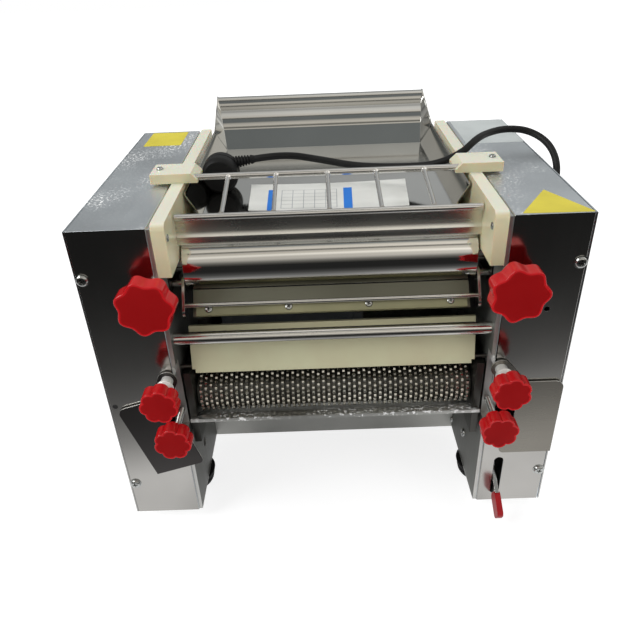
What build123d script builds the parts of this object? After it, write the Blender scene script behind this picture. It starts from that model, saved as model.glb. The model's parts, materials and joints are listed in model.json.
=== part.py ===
from build123d import *
import os
from math import atan2, cos, degrees, hypot, pi, radians, sin, tan

# Countertop electric dough sheeter and noodle cutter, in millimetres.
# +X runs to the operator's right, +Y to the back, +Z up. The origin is on the
# floor, under the middle of the machine.

os.makedirs("parts", exist_ok=True)

# ---------------------------------------------------------------- driving sizes
overall_width = 430.0
housing_depth = 296.0
housing_height = 324.0
foot_height = 16.0
chute_reach = 349.0         # from the housings' front face back to the chute's lip

sheet = 1.5                 # casing steel
thin_sheet = 1.2            # hopper and chute steel
frame_gap = 289.0           # clear width between the two frame plates
plate_thickness = 14.0
seam_width = 3.5            # strip of frame plate that shows beside each casing
cover_flange = 12.5

running_gap = 0.05          # radial clearance of a shaft in its bearing
seat_gap = 0.05             # radial clearance of a part keyed on a shaft
slide_gap = 0.1             # clearance beside a flat sliding part
rest_gap = 0.3              # clearance between neighbours of different bodies

screw_head_radius = 6.0
screw_head_height = 3.0
screw_shank_radius = 2.4
screw_shank_length = 7.0
screw_inset = 6.5           # casing screws from the housing's outer side
screw_drops = (44.0, 282.0)
trim_screw_radius = 3.2
trim_screw_length = 2.5

foot_radius = 26.0
foot_tread_radius = 23.0
foot_x = 165.5
foot_backs = (63.0, 233.0)

roller_radius = 28.0
roller_face = 262.0
roller_back = 57.0          # front roller's axis behind the front face
roller_drop = 56.0          # rollers' axes below the deck
roller_nip = 0.8            # thinnest dough setting
roller_journal = 11.0
gear_seat_radius = 9.0
dough_travel = 4.5          # how far the front roller opens
block_front = 26.0          # bearing block ahead of the roller's axis
block_rear = 27.0           # and behind it
block_half_height = 21.8
bush_wall = 5.0

cutter_radius = 21.5
cutter_overlap = 3.0
cutter_back = 36.0
cutter_drop = 190.0
cutter_face = 262.0
cutter_ring_pitch = 15.0
cutter_ring_width = 6.6
cutter_ring_depth = 4.0
cutter_journal = 9.0
cutter_side_x = 134.5       # inner face of the cartridge's end plates
cutter_side_thickness = 7.0
cutter_side_backs = (8.0, 105.0)
cutter_side_drops = (150.0, 235.0)

big_knob_radius = 25.0
big_knob_thickness = 16.0
big_knob_standoff = 18.0    # knob's back face in front of the casing
small_knob_radius = 17.2
small_knob_thickness = 14.0
mid_knob_standoff = 29.0
low_knob_standoff = 25.0
knob_lobes = 7
knob_core_share = 0.8       # knob's core and lobes, as shares of its radius
knob_lobe_share = 0.3
knob_hub_share = 0.4
knob_chamfer_share = 0.1    # of its thickness
knob_hub_height = 1.5
gap_stud_x = 151.0
gap_stud_radius = 5.0
stud_socket_depth = 14.0
mid_stud_x = 153.5
mid_stud_drop = 149.0
low_stud_x = 149.5
low_stud_drop = 196.0
clamp_stud_radius = 3.0
stud_recess = 12.0          # frame plate set back behind the stud opening
clamp_stud_depth = 10.0
stud_opening_drops = (136.0, 213.0)
casing_opening_reach = 174.0
casing_opening_drops = (170.0, 212.0)

nylon_thickness = 11.5
nylon_rise = 3.0            # hopper sides stand this much over the deck
nylon_length = 290.0
nylon_height = 47.5
nylon_corner = 7.0

strip_backs = (38.5, 38.5, 36.0, 36.5, 35.6)
strip_drops = (10.0, 20.5, 24.5, 29.0, 31.5)

guard_bar_radius = 3.0
guard_wire_radius = 2.0
guard_front_back = 36.0
guard_front_drop = 6.0
guard_hinge_back = 104.5
guard_hinge_rise = 6.5
guard_front_half = 132.3
guard_wires = (-92.0, -47.0, 1.0, 46.0, 91.0)

bracket_inner = 120.0
bracket_outer = 164.0
bracket_backs = (98.0, 130.0)
bracket_height = 12.0
bracket_bevel = 6.0
bracket_screw_x = 157.0
bracket_blind = 150.0       # where the guard bar's bore ends

chute_floor_drop = 26.3
chute_front_back = 84.0     # over the rear roller, to the nip
chute_bend_back = 297.0
chute_lip_rise = 27.0
chute_floor_half = 118.0
chute_wing_half = 131.8
chute_wing_drop = 4.0
chute_edge_drop = 1.5
chute_lip_half = 127.4
chute_lip_wing_half = 128.6
chute_lip_wing_rise = 0.8
chute_lip_shift = -2.2      # the loose chute sits a little askew

tie_rod_radius = 6.0
rod_rear_insets = (21.0, 14.0)  # upper and lower rear rod from the housings' rear face
tie_rods = (
    (11.5, 113.0),
    (housing_depth - rod_rear_insets[0], 110.0),
    (housing_depth - rod_rear_insets[1], 306.0),
)

scraper_travel_gap = 0.6    # blade's edge from the roller
scraper_angle = 48.0        # blade's edge below the roller's axis, degrees
scraper_drop = 19.2         # blade's fall from edge to heel
scraper_run = 16.7          # and its run to the front
blade_thickness = 0.8
blade_half = 126.0
scraper_bar_start = 14.0    # bar's upper edge along the blade
scraper_bar_half = 122.0
scraper_bar_thickness = 7.0
scraper_screw_places = (-110.6, -38.4, 33.6, 107.2)
scraper_screw_radius = 3.4
scraper_screw_depth = 2.0
scraper_rod_radius = 2.0
scraper_rod_back = 20.0
scraper_rod_drop = 83.5
scraper_arm_x = 131.5
scraper_arm_thickness = 2.5
scraper_arm_radii = (6.0, 7.0)
scraper_arm_place = (6.0, 3.0)  # lower end's centre above the blade's heel and in front of it
scraper_pin_place = (21.0, 13.0)  # ahead of the roller's axis and below it
scraper_pin_radius = 3.0
rear_scraper_tail = 14.0

guide_top = (30.0, 110.0)
guide_bottom = (17.0, 154.0)
guide_half = 133.0
guide_thickness = 5.0
guide_notch = (3.0, 5.0)
guide_pin_radius = 2.0
guide_pin_shares = (0.2, 0.85)  # of the way down the plate

apron_half = 140.0
apron_lip_drops = (199.0, 203.0)
apron_bend = (14.0, 205.0)
apron_end = (44.0, 224.0)

pan_wall_back = 118.0
pan_wall_drop = 215.0
rear_panel_drop = 40.0

gear_width = 14.0
sheeter_gear_teeth = 20
main_gear_teeth = 38
pinion_teeth = 15
main_gear_module = 2.5
cutter_gear_teeth = 20
gear_plane_gap = 3.5        # from the frame plate to the first gears
plane_step = 4.0            # between neighbouring planes of gears and pulleys
counter_direction = -40.0   # from the rear roller to the countershaft, degrees

big_pulley_radius = 75.0
pulley_hole_ring = 42.0
pulley_hole_radius = 14.0
motor_pulley_radius = 25.0
pulley_width = 12.0
belt_thickness = 5.0
belt_width = 9.0
cutter_pulley_radius = 25.0
cutter_pulley_x = 180.0

motor_back = 215.0
motor_drop = 235.0
motor_radius = 59.0
motor_wall = 3.0
motor_cap = 12.0
motor_reach = (-130.0, 40.0)
motor_shaft_radius = 7.0
rotor_radius = 34.0
rotor_margin = 18.0
motor_foot_half = 26.0

flap_thickness = 1.5
flap_standoff = 1.5
flap_reach = 163.0          # lower inner edge
flap_notch_reach = 173.0    # upper inner edge, clear of the low stud
flap_notch_drop = 214.0
flap_drops = (166.0, 254.0)
flap_corner = 8.0
flap_lower_corner = 5.0
flap_ear_radius = 9.0
flap_ear_end = (176.0, 176.0)  # reach and drop of the ear's root
flap_hole_gap = 0.3
flap_swing = 16.5           # the left flap hangs open by this angle
collar_radius = 8.0
collar_neck_radius = 5.5
collar_step = 13.0
sleeve_radius = 5.0

lever_x = 163.5
lever_thickness = 4.0
lever_depth = 14.0
lever_slope = 31.26         # front arm below the horizontal, degrees
lever_pivot_back = 100.0
lever_pivot_drop = 243.9
lever_front_reach = 138.0   # from the pivot to the end of the steel
lever_hub_radius = 11.0
lever_pin_radius = 5.0
lever_pin_depth = 12.0
lever_slot_x = (161.2, 170.6)
lever_slot_drops = (263.0, 314.5)
grip_length = 26.0
grip_depth = 16.0
grip_thickness = 6.0
grip_corner = 5.0
grip_reach = 149.0          # from the pivot to the grip's tip
jockey_radius = 9.0
jockey_axle_radius = 4.0
jockey_arm_radius = 7.0
jockey_offset = -9.2        # wheel's rest place across the belt, from its middle

sight_hole_x = 187.3
sight_hole_drop = 88.7
sight_hole_radius = 2.5
plate_hole_back = 57.0
plate_hole_drop = 279.0
plate_hole_radius = 5.5

switch_x = 190.0
switch_drop = 150.0
switch_frame_size = (24.0, 34.0)
switch_well_size = (16.0, 26.0)
switch_wall = 2.0
switch_lip = 3.0
switch_well_depth = 22.0
rocker_pivot_depth = 5.0
rocker_width = 15.2
rocker_pin_radius = 1.5
rocker_pin_reach = 1.5
rocker_profile = ((-6.0, -10.8), (8.0, -9.4), (7.4, 0.0), (4.4, 11.5), (-6.0, 10.8))

gland_x = 170.0
gland_drop = 215.0
gland_radius = 9.0
gland_nose_radius = 5.5
gland_length = 22.0
gland_thread_radius = 6.9
gland_thread_length = 8.0

cord_diameter = 7.0
plug_x = -107.0
plug_backs = (145.0, 173.0)
plug_radius = 18.5
plug_edge = 3.0
plug_pin_radius = 2.4
plug_pin_length = 19.0
plug_pin_half_spacing = 9.5
relief_radius = 6.5
relief_length = 24.0

# ---------------------------------------------------------------- derived places
front_reach = mid_knob_standoff + small_knob_thickness
front_y = (front_reach - chute_reach) / 2
deck_z = foot_height + housing_height
plate_inner = frame_gap / 2
plate_outer = plate_inner + plate_thickness
side_x = overall_width / 2
casing_x = plate_inner + seam_width
SIDES = {"left": -1, "right": 1}


def back(distance):
    """Y of a place this far behind the housings' front face."""
    return front_y + distance


def down(drop):
    """Z of a place this far below the deck."""
    return deck_z - drop


def side_plane(x):
    """Sketch plane facing +X: its x is the machine's Y, its y is the machine's Z."""
    return Plane(origin=(x, 0, 0), x_dir=(0, 1, 0), z_dir=(1, 0, 0))


def front_plane(y):
    """Sketch plane facing the operator: its x is the machine's X, its y is its Z."""
    return Plane(origin=(0, y, 0), x_dir=(1, 0, 0), z_dir=(0, -1, 0))


def span(side, near, far):
    """Start and length along X of a stretch that runs from near to far on one side."""
    return min(side * near, side * far), abs(far - near)


def interval(side, near, far):
    """Low and high X of a stretch that runs from near to far on one side."""
    return min(side * near, side * far), max(side * near, side * far)


roller_y = back(roller_back)
roller_z = down(roller_drop)
roller_centres = 2 * roller_radius + roller_nip
rear_roller_y = roller_y + roller_centres
block_low_y = roller_y - block_front
block_high_y = roller_y + block_rear
bush_radius = roller_journal + bush_wall

cutter_y = back(cutter_back)
cutter_z = down(cutter_drop)
cutter_centres = 2 * cutter_radius - cutter_overlap
rear_cutter_y = cutter_y + cutter_centres

gear_plane_1 = plate_outer + gear_plane_gap
gear_plane_2 = gear_plane_1 + gear_width + plane_step
pulley_plane = gear_plane_2 + gear_width + plane_step

roller_module = roller_centres / sheeter_gear_teeth
cutter_module = cutter_centres / cutter_gear_teeth
counter_centres = main_gear_module * (main_gear_teeth + pinion_teeth) / 2
counter_y = rear_roller_y + counter_centres * cos(radians(counter_direction))
counter_z = roller_z + counter_centres * sin(radians(counter_direction))
motor_y = back(motor_back)
motor_z = down(motor_drop)

lever_y = back(lever_pivot_back)
lever_z = down(lever_pivot_drop)
casing_inner_y = back(housing_depth - sheet)


# ---------------------------------------------------------------- shared features
def slab(plane, low, high, depth, mode=Mode.ADD):
    """Extrude the rectangle between two corners of a plane."""
    with BuildSketch(plane) as outline:
        with Locations(((low[0] + high[0]) / 2, (low[1] + high[1]) / 2)):
            Rectangle(high[0] - low[0], high[1] - low[1])
    extrude(outline.sketch, amount=depth, dir=plane.z_dir, mode=mode)


def disc(plane, places, radius, depth, mode=Mode.ADD):
    """Extrude equal circles of a plane."""
    with BuildSketch(plane) as outline:
        with Locations(*places):
            Circle(radius)
    extrude(outline.sketch, amount=depth, dir=plane.z_dir, mode=mode)


def prism(plane, points, depth, mode=Mode.ADD):
    """Extrude the polygon through the points of a plane."""
    with BuildSketch(plane) as outline:
        Polygon(*points, align=None)
    extrude(outline.sketch, amount=depth, dir=plane.z_dir, mode=mode)


def hull_of(plane, circles, depth, mode=Mode.ADD):
    """Extrude the outline of a band drawn tight round circles (u, v, radius)."""
    with BuildSketch(plane) as outline:
        with BuildLine():
            for u, v, radius in circles:
                CenterArc((u, v), radius, 0, 360)
        make_hull()
    extrude(outline.sketch, amount=depth, dir=plane.z_dir, mode=mode)


def folded(points, thickness):
    """Outline of a folded sheet that lies to the left of the line through points."""
    normals = []
    for (u0, v0), (u1, v1) in zip(points, points[1:]):
        run = hypot(u1 - u0, v1 - v0)
        normals.append(((v0 - v1) / run, (u1 - u0) / run))
    far_side = []
    for i, (u, v) in enumerate(points):
        first = normals[max(i - 1, 0)]
        last = normals[min(i, len(normals) - 1)]
        reach = thickness / (1 + first[0] * last[0] + first[1] * last[1])
        far_side.append((u + reach * (first[0] + last[0]), v + reach * (first[1] + last[1])))
    return list(points) + far_side[::-1]


def keep(name, finished):
    """Label a finished piece and write it as its own STEP file."""
    finished.part.label = name
    export_step(finished.part, "parts/" + name + ".step")


# ---------------------------------------------------------------- shared pieces
def gear_teeth(start, y, z, teeth, module, first_angle):
    """Add a spur gear's blank and teeth, one of them centred at first_angle."""
    root = module * teeth / 2 - 1.2 * module
    tip = module * teeth / 2 + 0.9 * module
    root_half = radians(0.29 * 360 / teeth)
    tip_half = radians(0.10 * 360 / teeth)
    step = 360 / teeth
    face = side_plane(start)
    with BuildSketch(face) as outline:
        with Locations((y, z)):
            Circle(root + 0.02 * module)
        with Locations(*[Location((y, z, 0), (0, 0, first_angle + step * i)) for i in range(teeth)]):
            Polygon(
                (root * cos(root_half), -root * sin(root_half)),
                (tip * cos(tip_half), -tip * sin(tip_half)),
                (tip * cos(tip_half), tip * sin(tip_half)),
                (root * cos(root_half), root * sin(root_half)),
                align=None,
            )
    extrude(outline.sketch, amount=gear_width, dir=face.z_dir)


def meshing_angle(direction, teeth):
    """First tooth of the gear that meets a tooth centred at direction."""
    return direction + 180 + 180 / teeth


def pulley_shape(start, y, z, belt_radius, bore):
    """Add a pulley whose rim holds a belt that runs at belt_radius."""
    face = side_plane(start)
    rim = belt_radius + belt_thickness - 1
    floor = belt_radius - rest_gap
    groove = belt_width + 2 * rest_gap
    cheek = (pulley_width - groove) / 2
    disc(face, [(y, z)], rim, pulley_width)
    with BuildSketch(side_plane(start + cheek)) as channel:
        with Locations((y, z)):
            Circle(rim + 1)
            Circle(floor, mode=Mode.SUBTRACT)
    extrude(channel.sketch, amount=groove, dir=face.z_dir, mode=Mode.SUBTRACT)
    disc(face, [(y, z)], bore, pulley_width, Mode.SUBTRACT)


def belt_shape(start, y1, z1, radius1, y2, z2, radius2):
    """Add a closed belt round two pulleys."""
    face = side_plane(start)
    outer = [(y1, z1, radius1 + belt_thickness), (y2, z2, radius2 + belt_thickness)]
    hull_of(face, outer, belt_width)
    hull_of(face, [(y1, z1, radius1), (y2, z2, radius2)], belt_width, Mode.SUBTRACT)


def star_knob(name, x, z, standoff, radius, thickness, stud_radius, stud_end):
    """A seven-lobed knob on its stud, which reaches back to stud_end."""
    back_face = front_plane(back(-standoff))
    lobe = radius * knob_lobe_share
    ring = radius - lobe
    turns = [2 * pi * i / knob_lobes for i in range(knob_lobes)]
    with BuildPart() as knob:
        with BuildSketch(back_face) as outline:
            with Locations((x, z)):
                Circle(radius * knob_core_share)
            with Locations(*[(x + ring * sin(turn), z + ring * cos(turn)) for turn in turns]):
                Circle(lobe)
        extrude(outline.sketch, amount=thickness, dir=back_face.z_dir)
        rim = knob.faces().sort_by(Axis.Y)[0].outer_wire().edges()
        chamfer(rim, thickness * knob_chamfer_share)
        disc(back_face, [(x, z)], radius * knob_hub_share, -knob_hub_height)
        disc(back_face, [(x, z)], stud_radius, -(standoff + stud_end))
    keep(name, knob)


# ---------------------------------------------------------------- frame plates
window_low = (block_low_y - dough_travel - slide_gap, roller_z - block_half_height - slide_gap)
window_high = (block_high_y + slide_gap, roller_z + block_half_height + slide_gap)
clamp_places = ((mid_stud_x, mid_stud_drop), (low_stud_x, low_stud_drop))

for name, side in SIDES.items():
    start, width = span(side, plate_inner, plate_outer)
    face = side_plane(start)
    recess_face = front_plane(back(stud_recess))
    with BuildPart() as frame_plate:
        slab(face, (back(sheet), foot_height + sheet), (casing_inner_y, deck_z - sheet), width)
        slab(face, window_low, window_high, width, Mode.SUBTRACT)
        slab(
            face,
            (back(0), down(stud_opening_drops[1])),
            (back(stud_recess), down(stud_opening_drops[0])),
            width,
            Mode.SUBTRACT,
        )
        disc(face, [(rear_roller_y, roller_z)], bush_radius, width, Mode.SUBTRACT)
        cutter_axes = [(cutter_y, cutter_z), (rear_cutter_y, cutter_z)]
        disc(face, cutter_axes, cutter_journal + running_gap, width, Mode.SUBTRACT)
        gap_stud = [(side * gap_stud_x, roller_z)]
        gap_bore = gap_stud_radius + running_gap
        disc(front_plane(back(0)), gap_stud, gap_bore, -roller_back + block_front, Mode.SUBTRACT)
        for stud_x, stud_drop in clamp_places:
            stud = [(side * stud_x, down(stud_drop))]
            disc(recess_face, stud, clamp_stud_radius + running_gap, -clamp_stud_depth, Mode.SUBTRACT)
        if side < 0:
            disc(face, [(counter_y, counter_z)], gear_seat_radius + bush_wall, width, Mode.SUBTRACT)
            disc(face, [(motor_y, motor_z)], motor_shaft_radius + 2, width, Mode.SUBTRACT)
            hole = [(back(plate_hole_back), down(plate_hole_drop))]
            disc(face, hole, plate_hole_radius, width, Mode.SUBTRACT)
        else:
            disc(face, [(lever_y, lever_z)], lever_pin_radius + running_gap, width, Mode.SUBTRACT)
    keep("frame_plate_" + name, frame_plate)

with BuildPart() as bearing_bushes:
    for side in SIDES.values():
        start, width = span(side, plate_inner, plate_outer)
        face = side_plane(start)
        disc(face, [(rear_roller_y, roller_z)], bush_radius, width)
        disc(face, [(rear_roller_y, roller_z)], roller_journal + running_gap, width, Mode.SUBTRACT)
    face = side_plane(-plate_outer)
    disc(face, [(counter_y, counter_z)], gear_seat_radius + bush_wall, plate_thickness)
    disc(face, [(counter_y, counter_z)], gear_seat_radius + running_gap, plate_thickness, Mode.SUBTRACT)
keep("bearing_bushes", bearing_bushes)

with BuildPart() as tie_rod_set:
    rod_places = [(back(rod_back), down(rod_drop)) for rod_back, rod_drop in tie_rods]
    disc(side_plane(-plate_inner), rod_places, tie_rod_radius, frame_gap)
keep("tie_rods", tie_rod_set)

# ---------------------------------------------------------------- housings
screw_places = {
    name: [(side * (side_x - screw_inset), down(drop)) for drop in screw_drops]
    for name, side in SIDES.items()
}

for name, side in SIDES.items():
    start, width = span(side, casing_x, side_x - sheet)
    face = side_plane(start)
    cutting_face = front_plane(back(-1))
    cut = -(sheet + 2)
    with BuildPart() as casing:
        slab(face, (back(0), foot_height), (back(housing_depth), deck_z), width)
        slab(face, (back(sheet), foot_height), (casing_inner_y, deck_z - sheet), width, Mode.SUBTRACT)
        screw_bore = screw_shank_radius + seat_gap
        disc(front_plane(back(-1)), screw_places[name], screw_bore, -housing_depth - 2, Mode.SUBTRACT)
        disc(cutting_face, [(side * gap_stud_x, roller_z)], gap_stud_radius + 1, cut, Mode.SUBTRACT)
        low_x, high_x = interval(side, casing_x - 1, casing_opening_reach)
        slab(
            cutting_face,
            (low_x, down(casing_opening_drops[1])),
            (high_x, down(casing_opening_drops[0])),
            cut,
            Mode.SUBTRACT,
        )
        sleeve_place = [(side * mid_stud_x, down(mid_stud_drop))]
        disc(cutting_face, sleeve_place, sleeve_radius + rest_gap, cut, Mode.SUBTRACT)
        if side > 0:
            slot_radius = (lever_slot_x[1] - lever_slot_x[0]) / 2
            slot_middle = (lever_slot_x[0] + lever_slot_x[1]) / 2
            slot_top = (slot_middle, down(lever_slot_drops[0]) - slot_radius, slot_radius)
            slot_bottom = (slot_middle, down(lever_slot_drops[1]) + slot_radius, slot_radius)
            hull_of(cutting_face, [slot_top, slot_bottom], cut, Mode.SUBTRACT)
            sight = [(sight_hole_x, down(sight_hole_drop))]
            disc(cutting_face, sight, sight_hole_radius, cut, Mode.SUBTRACT)
            rear_face = front_plane(casing_inner_y - 1)
            gland_hole = [(gland_x, down(gland_drop))]
            disc(rear_face, gland_hole, gland_thread_radius + seat_gap, cut, Mode.SUBTRACT)
            half_x = switch_well_size[0] / 2 + switch_wall + slide_gap
            half_z = switch_well_size[1] / 2 + switch_wall + slide_gap
            switch_z = down(switch_drop)
            low = (switch_x - half_x, switch_z - half_z)
            high = (switch_x + half_x, switch_z + half_z)
            slab(rear_face, low, high, cut, Mode.SUBTRACT)
    keep("casing_" + name, casing)

    start, width = span(side, side_x - sheet, side_x)
    flange_low, flange_high = interval(side, side_x - sheet - cover_flange, side_x - sheet)
    with BuildPart() as side_cover:
        slab(side_plane(start), (back(0), foot_height), (back(housing_depth), deck_z), width)
        for flange_y in (back(2 * sheet), casing_inner_y):
            low = (flange_low, foot_height + sheet)
            slab(front_plane(flange_y), low, (flange_high, deck_z - sheet), sheet)
        disc(front_plane(back(0)), screw_places[name], screw_bore, -housing_depth, Mode.SUBTRACT)
    keep("side_cover_" + name, side_cover)

with BuildPart() as casing_screws:
    for places in screw_places.values():
        for screw_y, inward in ((back(0), -1), (back(housing_depth), 1)):
            disc(front_plane(screw_y), places, screw_head_radius, -inward * screw_head_height)
            disc(front_plane(screw_y), places, screw_shank_radius, inward * screw_shank_length)
keep("casing_screws", casing_screws)

with BuildPart() as base_pan:
    floor_plane = Plane.XY.offset(foot_height)
    slab(floor_plane, (-side_x + sheet, back(sheet)), (side_x - sheet, casing_inner_y), sheet)
    front_cut = (plate_inner, back(pan_wall_back))
    slab(floor_plane, (-plate_inner, back(0)), front_cut, sheet, Mode.SUBTRACT)
    wall_low = (-plate_inner, foot_height)
    slab(front_plane(back(pan_wall_back + sheet)), wall_low, (plate_inner, down(pan_wall_drop)), sheet)
    panel_low = (-casing_x, foot_height)
    slab(front_plane(back(housing_depth)), panel_low, (casing_x, down(rear_panel_drop)), sheet)
keep("base_pan", base_pan)

with BuildPart() as rubber_feet:
    foot_places = [(side * foot_x, back(at)) for side in SIDES.values() for at in foot_backs]
    with BuildSketch(Plane.XY.offset(foot_height)) as foot_top:
        with Locations(*foot_places):
            Circle(foot_radius)
    side_taper = degrees(atan2(foot_radius - foot_tread_radius, foot_height))
    extrude(foot_top.sketch, amount=foot_height, dir=(0, 0, -1), taper=side_taper)
keep("rubber_feet", rubber_feet)

# ---------------------------------------------------------------- dough hopper
nylon_bottom = deck_z + nylon_rise - nylon_height
nylon_inner = plate_inner - nylon_thickness
hopper_screw_places = ((7.0, 11.5), (nylon_length - 12, 11.5))

for name, side in SIDES.items():
    start, width = span(side, nylon_inner, plate_inner)
    with BuildPart() as hopper_side:
        face = side_plane(start)
        slab(face, (back(0), nylon_bottom), (back(nylon_length), deck_z + nylon_rise), width)
        corner = hopper_side.edges().filter_by(Axis.X).group_by(Axis.Y)[0].sort_by(Axis.Z)[-1]
        fillet(corner, nylon_corner)
        for screw_back, screw_drop in hopper_screw_places:
            place = [(back(screw_back), down(screw_drop))]
            bore = trim_screw_radius + seat_gap
            inward = side_plane(side * nylon_inner)
            disc(inward, place, bore, side * trim_screw_length, Mode.SUBTRACT)
    keep("hopper_side_" + name, hopper_side)

with BuildPart() as trim_screws:
    for side in SIDES.values():
        places = [(back(at), down(drop)) for at, drop in hopper_screw_places]
        disc(side_plane(side * nylon_inner), places, trim_screw_radius, side * trim_screw_length)
        bracket_top = Plane.XY.offset(deck_z + bracket_height)
        place = [(side * bracket_screw_x, back(sum(bracket_backs) / 2))]
        disc(bracket_top, place, trim_screw_radius, trim_screw_length)
keep("trim_screws", trim_screws)

with BuildPart() as hopper_front_strip:
    line = [(back(at), down(drop)) for at, drop in zip(strip_backs, strip_drops)]
    prism(side_plane(-nylon_inner), folded(line, thin_sheet), 2 * nylon_inner)
keep("hopper_front_strip", hopper_front_strip)

bracket_span = bracket_backs[1] - bracket_backs[0]
with BuildPart() as guard_brackets:
    for side in SIDES.values():
        low_z = deck_z + nylon_rise
        top_z = deck_z + bracket_height
        outline = [
            (side * bracket_inner, low_z),
            (side * bracket_outer, low_z),
            (side * bracket_outer, top_z),
            (side * (bracket_inner + bracket_bevel), top_z),
            (side * bracket_inner, top_z - bracket_bevel),
        ]
        prism(front_plane(back(bracket_backs[1])), outline, bracket_span)
        hinge_place = [(back(guard_hinge_back), deck_z + guard_hinge_rise)]
        bore = guard_bar_radius + running_gap
        inner_face = side_plane(side * bracket_inner)
        disc(inner_face, hinge_place, bore, side * (bracket_blind - bracket_inner), Mode.SUBTRACT)
keep("guard_brackets", guard_brackets)

with BuildPart() as wire_guard:
    bar_y = back(guard_front_back)
    bar_z = down(guard_front_drop)
    hinge_y = back(guard_hinge_back)
    hinge_z = deck_z + guard_hinge_rise
    disc(side_plane(-guard_front_half), [(bar_y, bar_z)], guard_bar_radius, 2 * guard_front_half)
    hinge_half = bracket_blind - 1
    disc(side_plane(-hinge_half), [(hinge_y, hinge_z)], guard_bar_radius, 2 * hinge_half)
    wire_length = hypot(hinge_y - bar_y, hinge_z - bar_z)
    for wire_x in guard_wires:
        along = (0, hinge_y - bar_y, hinge_z - bar_z)
        wire_plane = Plane(origin=(wire_x, bar_y, bar_z), x_dir=(1, 0, 0), z_dir=along)
        disc(wire_plane, [(0, 0)], guard_wire_radius, wire_length)
keep("wire_guard", wire_guard)


def chute_section(floor_half, wing_half, floor_z, wing_z, edge_z):
    """Folded cross-section of the chute, from one wing's edge to the other's."""
    line = [
        (wing_half, edge_z),
        (wing_half, wing_z),
        (floor_half, floor_z),
        (-floor_half, floor_z),
        (-wing_half, wing_z),
        (-wing_half, edge_z),
    ]
    return folded(line, thin_sheet)


with BuildPart() as dough_chute:
    section = chute_section(
        chute_floor_half,
        chute_wing_half,
        down(chute_floor_drop),
        down(chute_wing_drop),
        down(chute_edge_drop),
    )
    bend_plane = front_plane(back(chute_bend_back))
    prism(bend_plane, section, chute_bend_back - chute_front_back)
    lip_z = deck_z + chute_lip_rise
    lip_section = chute_section(
        chute_lip_half,
        chute_lip_wing_half,
        lip_z,
        lip_z + chute_lip_wing_rise,
        lip_z + chute_lip_wing_rise + thin_sheet,
    )
    with BuildSketch(bend_plane) as lower_end:
        Polygon(*section, align=None)
    shifted = [(x + chute_lip_shift, z) for x, z in lip_section]
    with BuildSketch(front_plane(back(chute_reach))) as upper_end:
        Polygon(*shifted, align=None)
    loft(sections=[lower_end.sketch, upper_end.sketch], ruled=True)
keep("dough_chute", dough_chute)

# ---------------------------------------------------------------- dough rollers
roller_half = roller_face / 2
with BuildPart() as front_roller:
    axis_place = [(roller_y, roller_z)]
    disc(side_plane(-roller_half), axis_place, roller_radius, roller_face)
    disc(side_plane(-plate_outer), axis_place, roller_journal, 2 * plate_outer)
    disc(side_plane(-gear_plane_1 - gear_width), axis_place, gear_seat_radius, gear_plane_1)
keep("front_roller", front_roller)

with BuildPart() as rear_roller:
    axis_place = [(rear_roller_y, roller_z)]
    disc(side_plane(-roller_half), axis_place, roller_radius, roller_face)
    disc(side_plane(-plate_outer), axis_place, roller_journal, 2 * plate_outer)
    shaft_left = gear_plane_2 + gear_width
    shaft_right = cutter_pulley_x + pulley_width
    disc(side_plane(-shaft_left), axis_place, gear_seat_radius, shaft_left + shaft_right)
keep("rear_roller", rear_roller)

gear_bore = gear_seat_radius + seat_gap
with BuildPart() as front_roller_gear:
    start = -gear_plane_1 - gear_width
    gear_teeth(start, roller_y, roller_z, sheeter_gear_teeth, roller_module, 0)
    disc(side_plane(start), [(roller_y, roller_z)], gear_bore, gear_width, Mode.SUBTRACT)
keep("front_roller_gear", front_roller_gear)

with BuildPart() as cluster_gear:
    start = -gear_plane_1 - gear_width
    first = meshing_angle(0, sheeter_gear_teeth)
    gear_teeth(start, rear_roller_y, roller_z, sheeter_gear_teeth, roller_module, first)
    outer_start = -gear_plane_2 - gear_width
    gear_teeth(
        outer_start, rear_roller_y, roller_z, main_gear_teeth, main_gear_module, counter_direction
    )
    hub_radius = gear_seat_radius + bush_wall
    whole_width = gear_plane_2 + gear_width - gear_plane_1
    disc(side_plane(outer_start), [(rear_roller_y, roller_z)], hub_radius, whole_width)
    disc(side_plane(outer_start), [(rear_roller_y, roller_z)], gear_bore, whole_width, Mode.SUBTRACT)
keep("cluster_gear", cluster_gear)

with BuildPart() as bearing_blocks:
    for side in SIDES.values():
        start, width = span(side, plate_inner, plate_outer)
        face = side_plane(start)
        low = (block_low_y, roller_z - block_half_height)
        slab(face, low, (block_high_y, roller_z + block_half_height), width)
        disc(face, [(roller_y, roller_z)], roller_journal + running_gap, width, Mode.SUBTRACT)
        socket = [(side * gap_stud_x, roller_z)]
        bore = gap_stud_radius + running_gap
        disc(front_plane(block_low_y), socket, bore, -stud_socket_depth, Mode.SUBTRACT)
keep("bearing_blocks", bearing_blocks)

# ---------------------------------------------------------------- scrapers
edge_reach = roller_radius + scraper_travel_gap
edge = (
    roller_y - edge_reach * cos(radians(scraper_angle)),
    roller_z - edge_reach * sin(radians(scraper_angle)),
)
heel = (edge[0] - scraper_run, edge[1] - scraper_drop)
blade_length = hypot(scraper_run, scraper_drop)
along = ((heel[0] - edge[0]) / blade_length, (heel[1] - edge[1]) / blade_length)
outward = (along[1], -along[0])


def on_blade(distance, lift):
    """Place this far down the blade from its edge and this far out in front of it."""
    y = edge[0] + distance * along[0] + lift * outward[0]
    z = edge[1] + distance * along[1] + lift * outward[1]
    return (y, z)


with BuildPart() as front_scraper_blade:
    profile = [
        on_blade(0, 0),
        on_blade(blade_length, 0),
        on_blade(blade_length, -blade_thickness),
        on_blade(blade_thickness, -blade_thickness),
    ]
    prism(side_plane(-blade_half), profile, 2 * blade_half)
keep("front_scraper_blade", front_scraper_blade)

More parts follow.
